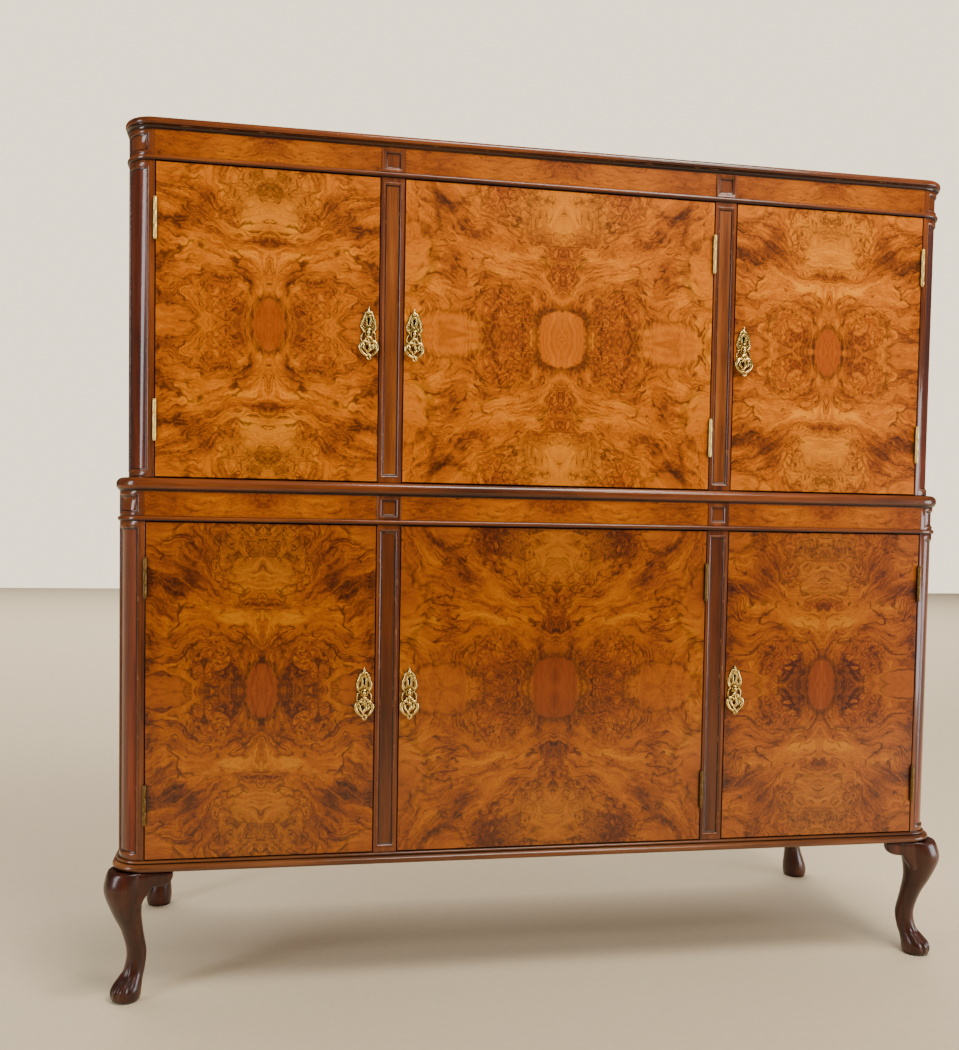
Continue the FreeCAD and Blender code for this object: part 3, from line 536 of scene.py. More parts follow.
def panelled_wood(name, depth_of, panel_colours, seed):
    """Upright walnut with another tone in its sunk panels; depth_of tells how deep a point lies."""
    paint = Paint(name)
    tone, pores = wood_tone(paint, "z", seed)
    sunk = paint.step(depth_of(paint), *SUNK_DEPTHS)
    wood = paint.mix(sunk, paint.ramp(tone, WALNUT_COLOURS), paint.ramp(tone, panel_colours))
    return polish(paint, aged(paint, wood, seed), pores, blur=0.15)


def depth_in_front(paint):
    """How deep a point lies behind the front of the carcase."""
    return paint.place()[1] - FRONT


def depth_in_post(stage):
    """How deep a point lies in the quarter-round corner posts of one stage."""
    def depth(paint):
        x, y, z = paint.place()
        across = abs(x) - (HALF_WIDTH[stage] - POST_RADIUS)
        back = y - (FRONT + POST_RADIUS)
        return POST_RADIUS - paint.math("SQRT", across * across + back * back)
    return depth


def keyhole_shade(paint, door):
    """Painted shade on the veneer: the dark that shows through the keyhole of a door's plate."""
    x, y, z = paint.place()
    key = Vector(JOINTS[f"{door}_drop_swing"]["pos_m"]) + Vector((0, 0, KEY_RISE))
    across = (x - key.x) / KEYHOLE_SHADE[0]
    up = (z - key.z) / KEYHOLE_SHADE[1]
    return 1.0 - paint.step(across * across + up * up, 0.7, 1.2)


def door_veneer(door):
    """Matched burr on the front of one door, with solid edges and a plain back."""
    low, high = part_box(f"{door}_door")
    paint = Paint(f"burr_{door}")
    x, y, z = paint.place()
    match = MIDDLE_MATCH if "middle" in door else SIDE_MATCH
    seed = match.seed + SEED_STEP * DOORS.index(door)
    figure = BurrFigure(paint, x - (low.x + high.x) / 2, z - (low.z + high.z) / 2,
                        (high.x - low.x) / 2, (high.z - low.z) / 2, seed, match.bow, match.heart_power)
    spots = match.spots
    if door == "lower_middle":
        spots = [spot._replace(kind="core") if spot.kind == "heart" else spot for spot in spots]
    burr = figure.colour(spots)
    if "lower" in door:
        # The lower doors are darkened, partly their own tone and partly painted shade
        burr = paint.mix(1.0, burr, LOWER_TINT_AND_SHADE, "MULTIPLY")
    rough, pores = grain_tone(paint, "z", seed)
    grain = rough + pores * 0.3 - 0.15
    edge = paint.ramp(grain, WALNUT_COLOURS)
    inside = paint.ramp(grain, INNER_COLOURS)
    shallow, deep = VENEER_DEPTHS
    behind = paint.step(y, FRONT + shallow, FRONT + deep)
    rear = paint.step(y, DOOR_BACK - deep, DOOR_BACK - shallow)
    face = aged(paint, paint.mix(behind, burr, edge), seed)
    # Painted shade in the keyhole
    keyhole_dark = keyhole_shade(paint, door)
    return polish(paint, paint.mix(keyhole_dark * 0.95, paint.mix(rear, face, inside), GRIME_AND_SHADE), pores)


def frieze_veneer(stage):
    """Burr strips over the doors, with plain blocks over the pilasters and at the corners."""
    low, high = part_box(f"{stage}_frieze")
    paint = Paint(f"burr_{stage}_frieze")
    x, y, z = paint.place()
    seed = 70.0 + 5.0 * STAGES.index(stage)
    post_inner = DOOR_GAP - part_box(f"{stage}_left_door")[0].x
    side_centre = (PILASTER_OUTER + post_inner) / 2
    in_side = paint.math("GREATER_THAN", abs(x), PILASTER_MIDDLE)
    sign = paint.math("SIGN", x)
    across = x - sign * in_side * side_centre
    half_width = in_side * ((post_inner - PILASTER_OUTER) / 2 - PILASTER_INNER) + PILASTER_INNER
    figure = BurrFigure(paint, across, z - low.z, half_width, high.z - low.z, seed, 0.3)
    # Painted shade under the moulding above the frieze
    burr = paint.mix(1.0, figure.colour(FRIEZE_FIGURE, 0.7), FRIEZE_SHADE_TINT, "MULTIPLY")
    rough, pores = grain_tone(paint, "z", seed)
    wood = paint.ramp(rough + pores * 0.35 - 0.15, WALNUT_COLOURS)
    block = paint.math("LESS_THAN", abs(abs(x) - PILASTER_MIDDLE), PILASTER_OUTER - PILASTER_MIDDLE)
    corner = paint.math("GREATER_THAN", abs(x), post_inner)
    behind = paint.math("GREATER_THAN", y, FRONT + 0.5 * MM)
    strip = paint.mix(paint.highest([block, corner, behind]), burr, wood)
    return polish(paint, aged(paint, strip, seed), pores)


def brass(name, gloss, darker_below=0.0, metal=1.0):
    """Cast brass, worn bright on high places and dark in hollows; it can be darker below a level."""
    paint = Paint(name)
    patches = paint.speckle(190, detail=4.0, roughness=0.6)
    filled = nearness(paint, TARNISH_REACH, inside=False)
    tone = 0.64 + patches * 0.44 - paint.step(filled, 0.1, 0.6) * 0.95
    if darker_below:
        z = paint.place()[2]
        tone = tone - 0.55 + paint.step(z, darker_below - BRASS_DARK_FADE, darker_below + BRASS_DARK_FADE) * 0.55
    colours = shades((24, 16, 6), (110, 80, 28), (212, 172, 82), (252, 222, 136))
    roughness = gloss + patches * 0.24
    return paint.finish(paint.ramp(tone, colours), roughness, paint.speckle(900), GRIT_DEPTH,
                        Metallic=metal)


def steel():
    """Old dark steel with fine file marks."""
    paint = Paint("lock_steel")
    x, y, z = paint.place()
    marks = paint.noise(x * 60, y * 400, z * 1500, 3.0)
    patches = paint.speckle(80, detail=3.0)
    colours = shades((30, 28, 26), (74, 70, 66), (120, 116, 110))
    tone = marks * 0.5 + patches * 0.6
    roughness = 0.35 + patches * 0.25
    return paint.finish(paint.ramp(tone, colours), roughness, marks, FILE_MARK_DEPTH, Metallic=1.0)


# Meshes

def make_piece(name, shape, material, body, replaces=(), sharp=35):
    """A mesh that rides on a body; edges that turn more than the sharp angle stay crisp."""
    mesh = bpy.data.meshes.new(name)
    mesh.from_pydata([tuple(vertex) for vertex in shape.vertices], [], shape.faces)
    mesh.validate()
    mesh.shade_smooth()
    mesh.set_sharp_from_angle(angle=math.radians(sharp))
    mesh.materials.append(material)
    piece = add_object(name, mesh)
    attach(piece, body)
    if replaces:
        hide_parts(*replaces)
    return piece


def circle(sides):
    """The cosine and sine of even turns round a circle."""
    turns = [2 * math.pi * side / sides for side in range(sides)]
    return [(math.cos(turn), math.sin(turn)) for turn in turns]


class Shape:
    """Vertices and faces gathered from several simple skins."""

    def __init__(self):
        self.vertices = []
        self.faces = []

    def skin(self, rings, wrap=False, caps=False):
        """Joins closed rings of equal count; wrap joins last to first, caps close both ends."""
        start = len(self.vertices)
        count = len(rings[0])
        for ring in rings:
            self.vertices += ring
        for number in range(len(rings) if wrap else len(rings) - 1):
            low = start + number * count
            high = start + (number + 1) % len(rings) * count
            for step in range(count):
                after = (step + 1) % count
                self.faces.append((low + step, low + after, high + after, high + step))
        if caps:
            last = start + (len(rings) - 1) * count
            self.faces.append(tuple(range(start + count - 1, start - 1, -1)))
            self.faces.append(tuple(range(last, last + count)))

    def sweep(self, points, radii, depth, flat=1.0, closed=False, sides=10):
        """A round strap along a curve across and up, standing at a depth in front of the door."""
        rings = []
        count = len(points)
        for number, (point, radius) in enumerate(zip(points, radii)):
            before = points[(number - 1) % count if closed else max(number - 1, 0)]
            after = points[(number + 1) % count if closed else min(number + 1, count - 1)]
            tangent = (after - before).normalized()
            normal = Vector((-tangent.y, tangent.x))
            ring = []
            for cosine, sine in circle(sides):
                flank = point + normal * radius * cosine
                ring.append(Vector((flank.x, -depth - radius * flat * sine, flank.y)))
            rings.append(ring)
        self.skin(rings, wrap=closed, caps=not closed)

    def lathe(self, profile, centre, scale=(1, 1, 1), sides=16):
        """A turned form about an upright axis; the profile gives radius and height."""
        wide, deep, high = scale
        rings = [[centre + Vector((radius * cosine * wide, radius * sine * deep, rise * high))
                  for cosine, sine in circle(sides)] for radius, rise in profile]
        self.skin(rings, caps=True)

    def moved(self, place, unit):
        """The shape in another unit, set down at a place."""
        self.vertices = [place + Vector(vertex) * unit for vertex in self.vertices]
        return self


def curve_of(*points):
    return [Vector(point) for point in points]


def smooth_curve(points, steps, closed=False):
    """Points of a smooth curve through the given ones, a fixed number of steps to each stretch."""
    count = len(points)
    result = []
    for number in range(count if closed else count - 1):
        picks = [number - 1, number, number + 1, number + 2]
        picks = [pick % count if closed else min(max(pick, 0), count - 1) for pick in picks]
        a, b, c, d = (points[pick] for pick in picks)
        for step in range(steps):
            t = step / steps
            result.append(0.5 * (2 * b + (c - a) * t + (2 * a - 5 * b + 4 * c - d) * t * t
                                 + (3 * b - a - 3 * c + d) * t ** 3))
    if not closed:
        result.append(points[-1])
    return result


def arc(centre, radius, start, end, steps=8):
    """Points on an arc, its turns in degrees."""
    turns = [math.radians(start + (end - start) * step / steps) for step in range(steps + 1)]
    return [(centre[0] + radius * math.cos(turn), centre[1] + radius * math.sin(turn)) for turn in turns]


# Moulded boards

def carcase_outline(half, proud):
    """The carcase from above, stood out by a distance: square at the back, round at the front corners."""
    radius = POST_RADIUS + proud
    centre_y = FRONT + POST_RADIUS
    points = [(-half - proud, BACK)]
    points += arc((-half + POST_RADIUS, centre_y), radius, 180, 270, 14)
    points += arc((half - POST_RADIUS, centre_y), radius, 270, 360, 14)
    points.append((half + proud, BACK))
    return points


def moulded_board(name, half, profile, material):
    """A board whose edge has a profile of distances out and up from the board's foot, in millimetres."""
    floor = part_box(name)[0].z
    shape = Shape()
    rings = [[Vector((x, y, floor + rise * MM)) for x, y in carcase_outline(half, out * MM)]
             for out, rise in profile]
    shape.skin(rings, caps=True)
    make_piece(f"{name}_moulded", shape, material, "carcase", [name])


TOP_PROFILE = ([(0.4, 0), (0.9, 0.4)] + arc((5.0, 1.2), 4.6, 185, 90, 8) + [(4.2, 6.6), (3.8, 7.4)]
               + arc((3.0, 11.2), 3.5, -75, 0, 6) + arc((-1, 12), 7.5, 0, 90, 10))
WAIST_PROFILE = ([(0.4, 0), (0.8, 1.2)] + arc((-4.5, 10.9), 10.5, -62, 0, 10)
                 + arc((-4.5, 12.5), 10.5, 0, 90, 12))
BASE_PROFILE = ([(3.0, 0)] + arc((5.2, 5.8), 5.8, -85, 85, 14) + [(4.2, 12.2), (3.0, 12.6)]
                + arc((1.3, 15.1), 2.6, -70, 90, 8) + [(0.3, 17.8), (0, 18)])


# Sunk panels

def flat_place(centre_x, floor):
    """Puts a panel's own across, up and depth on the front of the carcase."""
    def place(across, up, depth):
        return Vector((centre_x + across, FRONT + depth, floor + up))
    return place


def round_place(stage, side, floor):
    """The same, wrapped round a corner post."""
    centre_x = side * (HALF_WIDTH[stage] - POST_RADIUS)
    centre_y = FRONT + POST_RADIUS

    def place(across, up, depth):
        turn = math.radians(45) * side + across / POST_RADIUS
        reach = POST_RADIUS - depth
        return Vector((centre_x + reach * math.sin(turn), centre_y - reach * math.cos(turn), floor + up))
    return place


def panel_frame(shape, place, width, height, profile):
    """A mitred moulding round a sunk panel; the profile is distance in and depth, in millimetres."""
    steps = 10
    rings = []
    for inward, depth in profile:
        half = width / 2 - inward * MM
        low = inward * MM
        high = height - inward * MM
        across = [-half + 2 * half * step / steps for step in range(steps + 1)]
        loop = [(x, low) for x in across] + [(x, high) for x in reversed(across)]
        rings.append([place(x, up, depth * MM) for x, up in loop])
    shape.skin(rings, wrap=True)


SLOPED_EDGE = [(-2.2, 0.05), (-2.2, -0.3), (-1.9, -0.5), (-1.3, -0.5), (0.9, 0.7), (1.6, 1.6),
               (2.2, 2.3), (2.4, 2.45), (-0.2, 2.6), (-0.2, 0.05)]
# A thin strip at the foot of each slope, coloured near black as painted shade in the quirk
QUIRK = [(1.4, 1.75), (1.9, 1.65), (3.4, 2.25), (3.6, 2.48), (1.4, 2.55)]
BLOCK_FRAME = [(-5.8, 0.05), (-5.8, -1.0), (-5.4, -1.3), (-0.6, -1.3), (-0.2, -1.1), (2.6, 2.4),
               (-0.3, 2.45), (-0.3, 0.05)]


def sunk_mouldings(stage, wood, shadow_wood):
    """The mouldings in the sunk panels of one stage's posts, pilasters and frieze, with dark strips at
    their feet as painted shade.
    """
    low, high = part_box(f"{stage}_pilasters")
    frieze_low, frieze_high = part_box(f"{stage}_frieze")
    panel_foot = low.z + SUNK_END
    block_foot = frieze_low.z + SUNK_MARGIN
    panel_width = PILASTER_OUTER - PILASTER_INNER - 2 * SUNK_MARGIN
    panel_height = high.z - low.z - 2 * SUNK_END
    block_height = frieze_high.z - frieze_low.z - 2 * SUNK_MARGIN
    round_width = POST_PANEL_TURN * POST_RADIUS
    for word, side in SIDES.items():
        middle = side * PILASTER_MIDDLE
        panels = [(flat_place(middle, panel_foot), panel_width, panel_height, SLOPED_EDGE),
                  (round_place(stage, side, panel_foot), round_width, panel_height, SLOPED_EDGE),
                  (round_place(stage, side, block_foot), round_width, block_height, SLOPED_EDGE),
                  (flat_place(middle, block_foot), panel_width, block_height, BLOCK_FRAME)]
        frames = Shape()
        shaded_quirks = Shape()
        for place, width, height, profile in panels:
            panel_frame(frames, place, width, height, profile)
            panel_frame(shaded_quirks, place, width, height, QUIRK)
        name = f"{stage}_{word}"
        make_piece(f"{name}_mouldings", frames, wood, "carcase")
        make_piece(f"{name}_quirks", shaded_quirks, shadow_wood, "carcase")


# Legs: distances in millimetres from the corner of the carcase and from the floor

LEG_TOP = 222
# Height, distance in from both faces of the corner, and radius
LEG_SECTIONS = curve_of(
    (0, 16, 20), (6, 15, 24.5), (20, 15.5, 25.5), (34, 21, 21), (48, 27, 17.6), (76, 30.5, 16.5),
    (114, 24.5, 17.8), (152, 16, 24.5), (188, 13, 33.5), (212, 17, 35), (LEG_TOP, 20, 34))
LEG_VOXEL = 1.4 * MM
OUTER_TURN = 225
TOE_TURNS = (-48, -16, 16, 48)
TOE_SPREAD = 6.5
TOE_GROOVE, TOE_RADIUS = 3.4, 25
# The grooves between the toes start and end at these heights, each over a run
GROOVE_START, GROOVE_START_RUN = 7, 8
GROOVE_END, GROOVE_END_RUN = 58, 18
EAR_START, EAR_END, EAR_STEPS = 12, 93, 28
EAR_DEPTH, EAR_TAPER = 20, 0.06
EAR_SIDES, EAR_ROUNDNESS = 32, 0.5
LEG_SIDES = 96
EAR_UNDERSIDE = curve_of((12, 180), (30, 172), (41, 167), (47, 177), (53, 185), (57, 191.5), (60, 195.5),
                         (67, 196.5), (76, 197.5), (85, 200.5), (90.5, 205.5), (94, 214))
EAR_FACE = curve_of((12, -8), (34, -11), (52, -9.5), (72, -6.5), (93.5, -4.5))


def along_curve(points, place):
    """The second coordinate of a smooth curve where its first coordinate has a value."""
    curve = smooth_curve(points, 8)
    for before, after in zip(curve, curve[1:]):
        if before.x <= place <= after.x:
            share = (place - before.x) / (after.x - before.x)
            return before.y + (after.y - before.y) * share
    return curve[-1].y if place > curve[-1].x else curve[0].y


def clamped(value):
    return max(0.0, min(1.0, value))


def leg_ring(section):
    """A rounded section of a cabriole leg, with toes cut in near the floor on its outer side."""
    rise, inset, radius = section
    grown = clamped((rise - GROOVE_START) / GROOVE_START_RUN)
    grown *= clamped((GROOVE_END - rise) / GROOVE_END_RUN)
    ring = []
    for side in range(LEG_SIDES):
        turn = 360 * side / LEG_SIDES
        from_corner = (turn - OUTER_TURN + 180) % 360 - 180
        cut = sum(math.exp(-((from_corner - toe) / TOE_SPREAD) ** 2) for toe in TOE_TURNS)
        reach = radius - TOE_GROOVE * grown * cut * radius / TOE_RADIUS
        ring.append(Vector((inset + reach * math.cos(math.radians(turn)),
                            inset + reach * math.sin(math.radians(turn)), rise)))
    return ring


def ear_ring(distance, swap):
    """A section of the bracket beside the knee, a distance along the rail from the corner."""
    low = along_curve(EAR_UNDERSIDE, distance)
    face = along_curve(EAR_FACE, distance)
    centre = ((face + EAR_DEPTH - distance * EAR_TAPER) / 2 + face / 2, (low + LEG_TOP) / 2)
    reach = ((EAR_DEPTH - distance * EAR_TAPER) / 2, (LEG_TOP - low) / 2)
    ring = []
    for spoke in circle(EAR_SIDES):
        bend = [math.copysign(abs(part) ** EAR_ROUNDNESS, part) for part in spoke]
        depth = centre[0] + reach[0] * bend[0]
        rise = centre[1] + reach[1] * bend[1]
        ring.append(Vector((depth, distance, rise)) if swap else Vector((distance, depth, rise)))
    return ring


def front_leg(word, side, wood):
    """One cabriole leg with its two ears, blended into a single carved form."""
    shape = Shape()
    sections = smooth_curve(LEG_SECTIONS, 6)
    shape.skin([leg_ring(section) for section in sections], caps=True)
    distances = [EAR_START + (EAR_END - EAR_START) * step / EAR_STEPS for step in range(EAR_STEPS + 1)]
    for swap in (False, True):
        shape.skin([ear_ring(distance, swap) for distance in distances], caps=True)
    corner = Vector((-HALF_WIDTH["lower"] * PER_METRE, FRONT * PER_METRE, 0))
    vertices = [(corner + vertex) * MM for vertex in shape.vertices]
    shape.vertices = [Vector((-side * vertex.x, vertex.y, vertex.z)) for vertex in vertices]
    leg = make_piece(f"front_leg_{word}", shape, wood, "carcase", ["front_legs"], sharp=180)
    add_modifier(leg, "REMESH", mode="VOXEL", voxel_size=LEG_VOXEL, use_smooth_shade=True)
    add_modifier(leg, "SMOOTH", factor=0.5, iterations=5)


# Pulls: points are across and up from the boss, in millimetres

def mirrored(points):
    """The same points on the other side of the middle line."""
    return [Vector((-point.x, point.y)) for point in points]


def tapered(count, start, middle, end):
    """Radii that pass from one end's to the other's through the middle's."""
    radii = []
    for number in range(count):
        share = number / (count - 1)
        half = share * 2 if share < 0.5 else share * 2 - 1
        low, high = (start, middle) if share < 0.5 else (middle, end)
        radii.append(low + (high - low) * (3 * half ** 2 - 2 * half ** 3))
    return radii


PLATE_OUTLINE = curve_of((0, 36), (3, 34), (5.4, 32.4), (6.2, 30), (7.8, 26.5), (8.8, 23), (11, 18.5),
                         (12, 13), (11.4, 7.5), (8.6, 3), (5.6, -1), (5.2, -5), (0, -6.5))
KEY_SURROUND = curve_of((0, 29), (3.2, 27.6), (4.2, 24.2), (3.2, 21), (2.9, 16.5), (2.2, 12.8), (0, 11.6))
SHEET_DEPTH = 0.9
SHEET_EDGE = 0.35
KEYHOLE_FOOT = 12
KEYHOLE_SHARE = (0.62, 0.86)
TEARDROP = curve_of((7, 20.4), (8.8, 17.4), (9.6, 13.2), (8.4, 9.2), (6.2, 9.4), (4.9, 12.4), (5, 16.8))
ROUND_HOLE = curve_of(*arc((5.9, 26.4), 1.1, 0, 330, 11))
UPPER_ARM = curve_of((1, 35.6), (3.4, 34.6), (5.8, 33), (6.6, 30.5), (8.4, 26.5), (9.2, 23.5), (11.2, 19),
                     (12.2, 13.5), (11.8, 8), (9, 3.4), (5.6, 0.5))
LOWER_ARM = curve_of((5.2, 0.5), (9.5, -0.4), (11.8, -5), (12, -11), (10.4, -16), (7.6, -16.6))
CHEEK = curve_of((4.9, -3.2), (5.2, 0), (4.9, 3.8))
STEM = curve_of((0, -1), (0, -6), (0, -12), (0, -18))
MOUSTACHE = curve_of((0, -8), (2.6, -9), (5, -11.4), (7, -12.6))
HEART = curve_of((3.2, -20), (2.2, -16.8), (5.6, -15.2), (10.6, -16.4), (14, -21.5), (14, -28),
                 (10.6, -34), (6, -38), (2.4, -40))
SCROLL = curve_of((-4.8, -20.4), (-1.6, -18.6), (1.6, -21.4), (2.8, -26), (0.6, -30.4), (-2.2, -34),
                  (0.4, -37.4), (3.6, -38.6))
LEFT_LEAF = curve_of((-11.6, -17.8), (-8, -21), (-7.8, -26), (-5, -30), (-1.8, -33.4))
RIGHT_LEAF = curve_of((11.2, -17.4), (7.4, -20.4), (8.2, -24.6), (5.6, -28.4), (1.4, -29.6))
LOOP = curve_of((-6.4, -38.8), (-2.4, -37.8), (2.2, -39.6), (3.2, -42.8), (0.4, -45.4), (-2.2, -43.6),
                (-1.4, -40.8))
# Turned forms: radius and height
FINIAL = [(0.2, -3.4), (1.9, -2.9), (3.1, -1.4), (3.3, 0), (2.9, 1.6), (1.9, 2.9), (1.6, 3.6), (1.9, 4.6),
          (1.5, 6.4), (0.7, 8.4), (0.15, 9.6)]
HOOD = [(5.0, 3.7), (5.4, 4.2), (5.0, 5.3), (3.8, 6.4), (1.8, 7.1), (0.2, 7.3)]
EYE = [(0.2, -3.4), (1.7, -2.95), (2.95, -1.7), (3.4, 0), (2.95, 1.7), (1.7, 2.95), (0.2, 3.4)]
BUD = [(0.2, -2.4), (1.5, -1.8), (2.2, -0.4), (2.0, 1), (1.1, 2), (0.2, 2.4)]


def strap(shape, points, radii, depth, flat=0.8, closed=False):
    """A strap along a smooth curve; an open one tapers from its first radius to its last."""
    curve = smooth_curve(points, 5, closed)
    widths = [radii[0]] * len(curve) if closed else tapered(len(curve), *radii)
    shape.sweep(curve, widths, depth, flat, closed)


def both_sides(shape, points, radii, depth, flat=0.8):
    for outline in (points, mirrored(points)):
        strap(shape, outline, radii, depth, flat)


def both_halves(half):
    """A closed outline from its right half, which starts and ends on the middle line."""
    return half + mirrored(half[1:-1])[::-1]


def plate_sheet(shape):
    """The thin pierced ground of the plate, filled between its outline and its holes."""
    loops = [both_halves(smooth_curve(PLATE_OUTLINE, 4))]
    across, up = KEYHOLE_SHARE
    key = [Vector((p.x * across, KEYHOLE_FOOT + (p.y - KEYHOLE_FOOT) * up)) for p in KEY_SURROUND]
    loops.append(both_halves(smooth_curve(key, 3)))
    teardrop = smooth_curve(TEARDROP, 4, True)
    loops += [teardrop, mirrored(teardrop), ROUND_HOLE, mirrored(ROUND_HOLE)]
    data = bpy.data.curves.new("plate_ground", "CURVE")
    with_settings(data, {"dimensions": "2D", "fill_mode": "BOTH", "extrude": SHEET_DEPTH - SHEET_EDGE,
                         "bevel_depth": SHEET_EDGE, "bevel_resolution": 2})
    for loop in loops:
        spline = data.splines.new("POLY")
        spline.points.add(len(loop) - 1)
        spline.use_cyclic_u = True
        for point, place in zip(spline.points, loop):
            point.co = (place.x, place.y, 0, 1)
    holder = add_object("plate_ground", data)
    sheet = holder.evaluated_get(bpy.context.evaluated_depsgraph_get()).to_mesh()
    start = len(shape.vertices)
    shape.vertices += [Vector((v.co.x, -SHEET_DEPTH - v.co.z, v.co.y)) for v in sheet.vertices]
    shape.faces += [tuple(start + index for index in face.vertices) for face in sheet.polygons]
    bpy.data.objects.remove(holder)
    bpy.data.curves.remove(data)


def plate_shape():
    """The pierced plate: ground, straps, finial and the hood over the pivot."""
    shape = Shape()
    plate_sheet(shape)
    both_sides(shape, UPPER_ARM, (1.2, 1.5, 1.5), 1.9)
    both_sides(shape, LOWER_ARM, (1.5, 1.2, 1.5), 1.7)
    strap(shape, both_halves(KEY_SURROUND), (0.85,), 2.0, closed=True)
    shape.lathe(FINIAL, Vector((0, -1.8, 34.4)), (1, 0.75, 0.98))
    shape.lathe(HOOD, Vector((0, -3.6, 0)), (0.95, 1.0, 1), 20)
    both_sides(shape, CHEEK, (1.1, 1.3, 1.4), 4.2, 2.0)
    return shape


def drop_shape(pivot_depth):
    """The hanging drop: an eye, a stem with a moustache leaf, and a heart of scrolls with a loop."""
    shape = Shape()
    depth = pivot_depth / MM
    shape.lathe(EYE, Vector((0, -depth, 0)))
    strap(shape, STEM, (1.8, 1.5, 1.6), depth)
    both_sides(shape, MOUSTACHE, (1.7, 2.1, 0.6), depth + 0.6)
    both_sides(shape, HEART, (1.3, 2.7, 1.8), depth, 0.68)
    strap(shape, SCROLL, (1.2, 2.3, 1.2), depth + 0.3)
    strap(shape, LEFT_LEAF, (1.1, 2.1, 1.0), depth)
    strap(shape, RIGHT_LEAF, (1.1, 2.1, 1.0), depth)
    strap(shape, LOOP, (1.0, 1.6, 1.0), depth + 0.2)
    shape.lathe(BUD, Vector((0, -depth - 1.2, -17.4)))
    return shape


def pull(door, metal):
    """The plate and the drop of one door's pull."""
    pivot = Vector(JOINTS[f"{door}_drop_swing"]["pos_m"])
    boss = Vector((pivot.x, FRONT, pivot.z))
    plate = plate_shape().moved(boss, MM)
    make_piece(f"{door}_pierced_plate", plate, metal, f"{door}_door",
               [f"{door}_pull_plate"], sharp=50)
    drop = drop_shape(FRONT - pivot.y).moved(boss, MM)
    make_piece(f"{door}_scrolled_drop", drop, metal, f"{door}_drop",
               [f"{door}_pull_drop"], sharp=50)


# Solids that stay, and where each finish goes

# How wide the edges of the solids are softened
BRASS_EDGE = 0.2 * MM
THIN_EDGE = 0.3 * MM
BOLT_EDGE = 0.4 * MM
PANEL_EDGE = 0.5 * MM
POST_EDGE = 0.6 * MM
SHELF_EDGE = 0.8 * MM
# Points this close are joined, and so are faces that turn this little; edges that turn more are softened
WELD_DISTANCE = 0.02 * MM
FLAT_TURN = math.radians(0.5)
EDGE_TURN = math.radians(40)
# How far up from its foot a moulding is darkened with painted shade
TOP_SHADE_HEIGHT = 7 * MM
WAIST_SHADE_HEIGHT = 5 * MM
BEAD_SHADE_HEIGHT = 2.5 * MM


def soften(node, width, material):
    """Takes the sharpness off a solid's edges and gives it a finish."""
    piece = NODES[node]
    piece.data.materials.clear()
    piece.data.materials.append(material)
    add_modifier(piece, "WELD", merge_threshold=WELD_DISTANCE)
    add_modifier(piece, "DECIMATE", decimate_type="DISSOLVE", angle_limit=FLAT_TURN)
    add_modifier(piece, "BEVEL", width=width, segments=2, limit_method="ANGLE", angle_limit=EDGE_TURN,
                 harden_normals=True)


def foot(node):
    """The height of a solid's lowest point."""
    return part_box(node)[0].z


def dress_boards():
    """The moulded boards at the top, waist and base."""
    top_wood = straight_wood("walnut_top", "x", WALNUT_COLOURS, seed=5.0, wear=0.5,
                             shaded_below=foot("top_board") + TOP_SHADE_HEIGHT)
    waist_wood = straight_wood("walnut_waist", "x", WALNUT_COLOURS, seed=7.0, wear=0.9,
                               shaded_below=foot("waist_board") + WAIST_SHADE_HEIGHT)
    base_wood = straight_wood("base_wood", "x", BASE_COLOURS, seed=3.0, wear=0.7)
    moulded_board("top_board", HALF_WIDTH["upper"], TOP_PROFILE, top_wood)
    moulded_board("waist_board", HALF_WIDTH["lower"], WAIST_PROFILE, waist_wood)
    moulded_board("base_board", HALF_WIDTH["lower"], BASE_PROFILE, base_wood)


def dress_stage(stage, upright, inner, quirk_shade_wood):
    """The frieze, bead, posts, pilasters, sides, back and partitions of one stage."""
    bead_wood = straight_wood(f"walnut_{stage}_bead", "x", WALNUT_COLOURS, seed=6.0, wear=0.5,
                              shaded_below=foot(f"{stage}_bead") + BEAD_SHADE_HEIGHT)
    post_wood = panelled_wood(f"walnut_{stage}_posts", depth_in_post(stage), POST_PANEL_COLOURS, seed=4.0)
    pilaster_wood = panelled_wood(f"walnut_{stage}_pilasters", depth_in_front,
                                  PILASTER_PANEL_COLOURS[stage], seed=2.0)
    soften(f"{stage}_frieze", THIN_EDGE, frieze_veneer(stage))
    soften(f"{stage}_bead", THIN_EDGE, bead_wood)
    soften(f"{stage}_corner_posts", POST_EDGE, post_wood)
    soften(f"{stage}_pilasters", POST_EDGE, pilaster_wood)
    for word in SIDES:
        soften(f"{stage}_{word}_side", POST_EDGE, upright)
    soften(f"{stage}_back", PANEL_EDGE, inner)
    soften(f"{stage}_partitions", PANEL_EDGE, inner)
    sunk_mouldings(stage, upright, quirk_shade_wood)


def dress_carcase():
    """Every piece that stands still, apart from the hinges."""
    upright = straight_wood("walnut_upright", "z", WALNUT_COLOURS)
    dark = straight_wood("walnut_dark", "z", DARK_COLOURS, seed=9.0, blur=0.24)
    quirk_shade_wood = straight_wood("walnut_quirk_shade", "z", QUIRK_SHADE_COLOURS, seed=11.0)
    inner = straight_wood("inner_wood", "z", INNER_COLOURS, seed=14.0)
    dress_boards()
    for stage in STAGES:
        dress_stage(stage, upright, inner, quirk_shade_wood)
    soften("shelves", SHELF_EDGE, straight_wood("shelf_wood", "x", INNER_COLOURS, seed=18.0))
    soften("back_legs", PANEL_EDGE, dark)
    for word, side in SIDES.items():
        front_leg(word, side, dark)


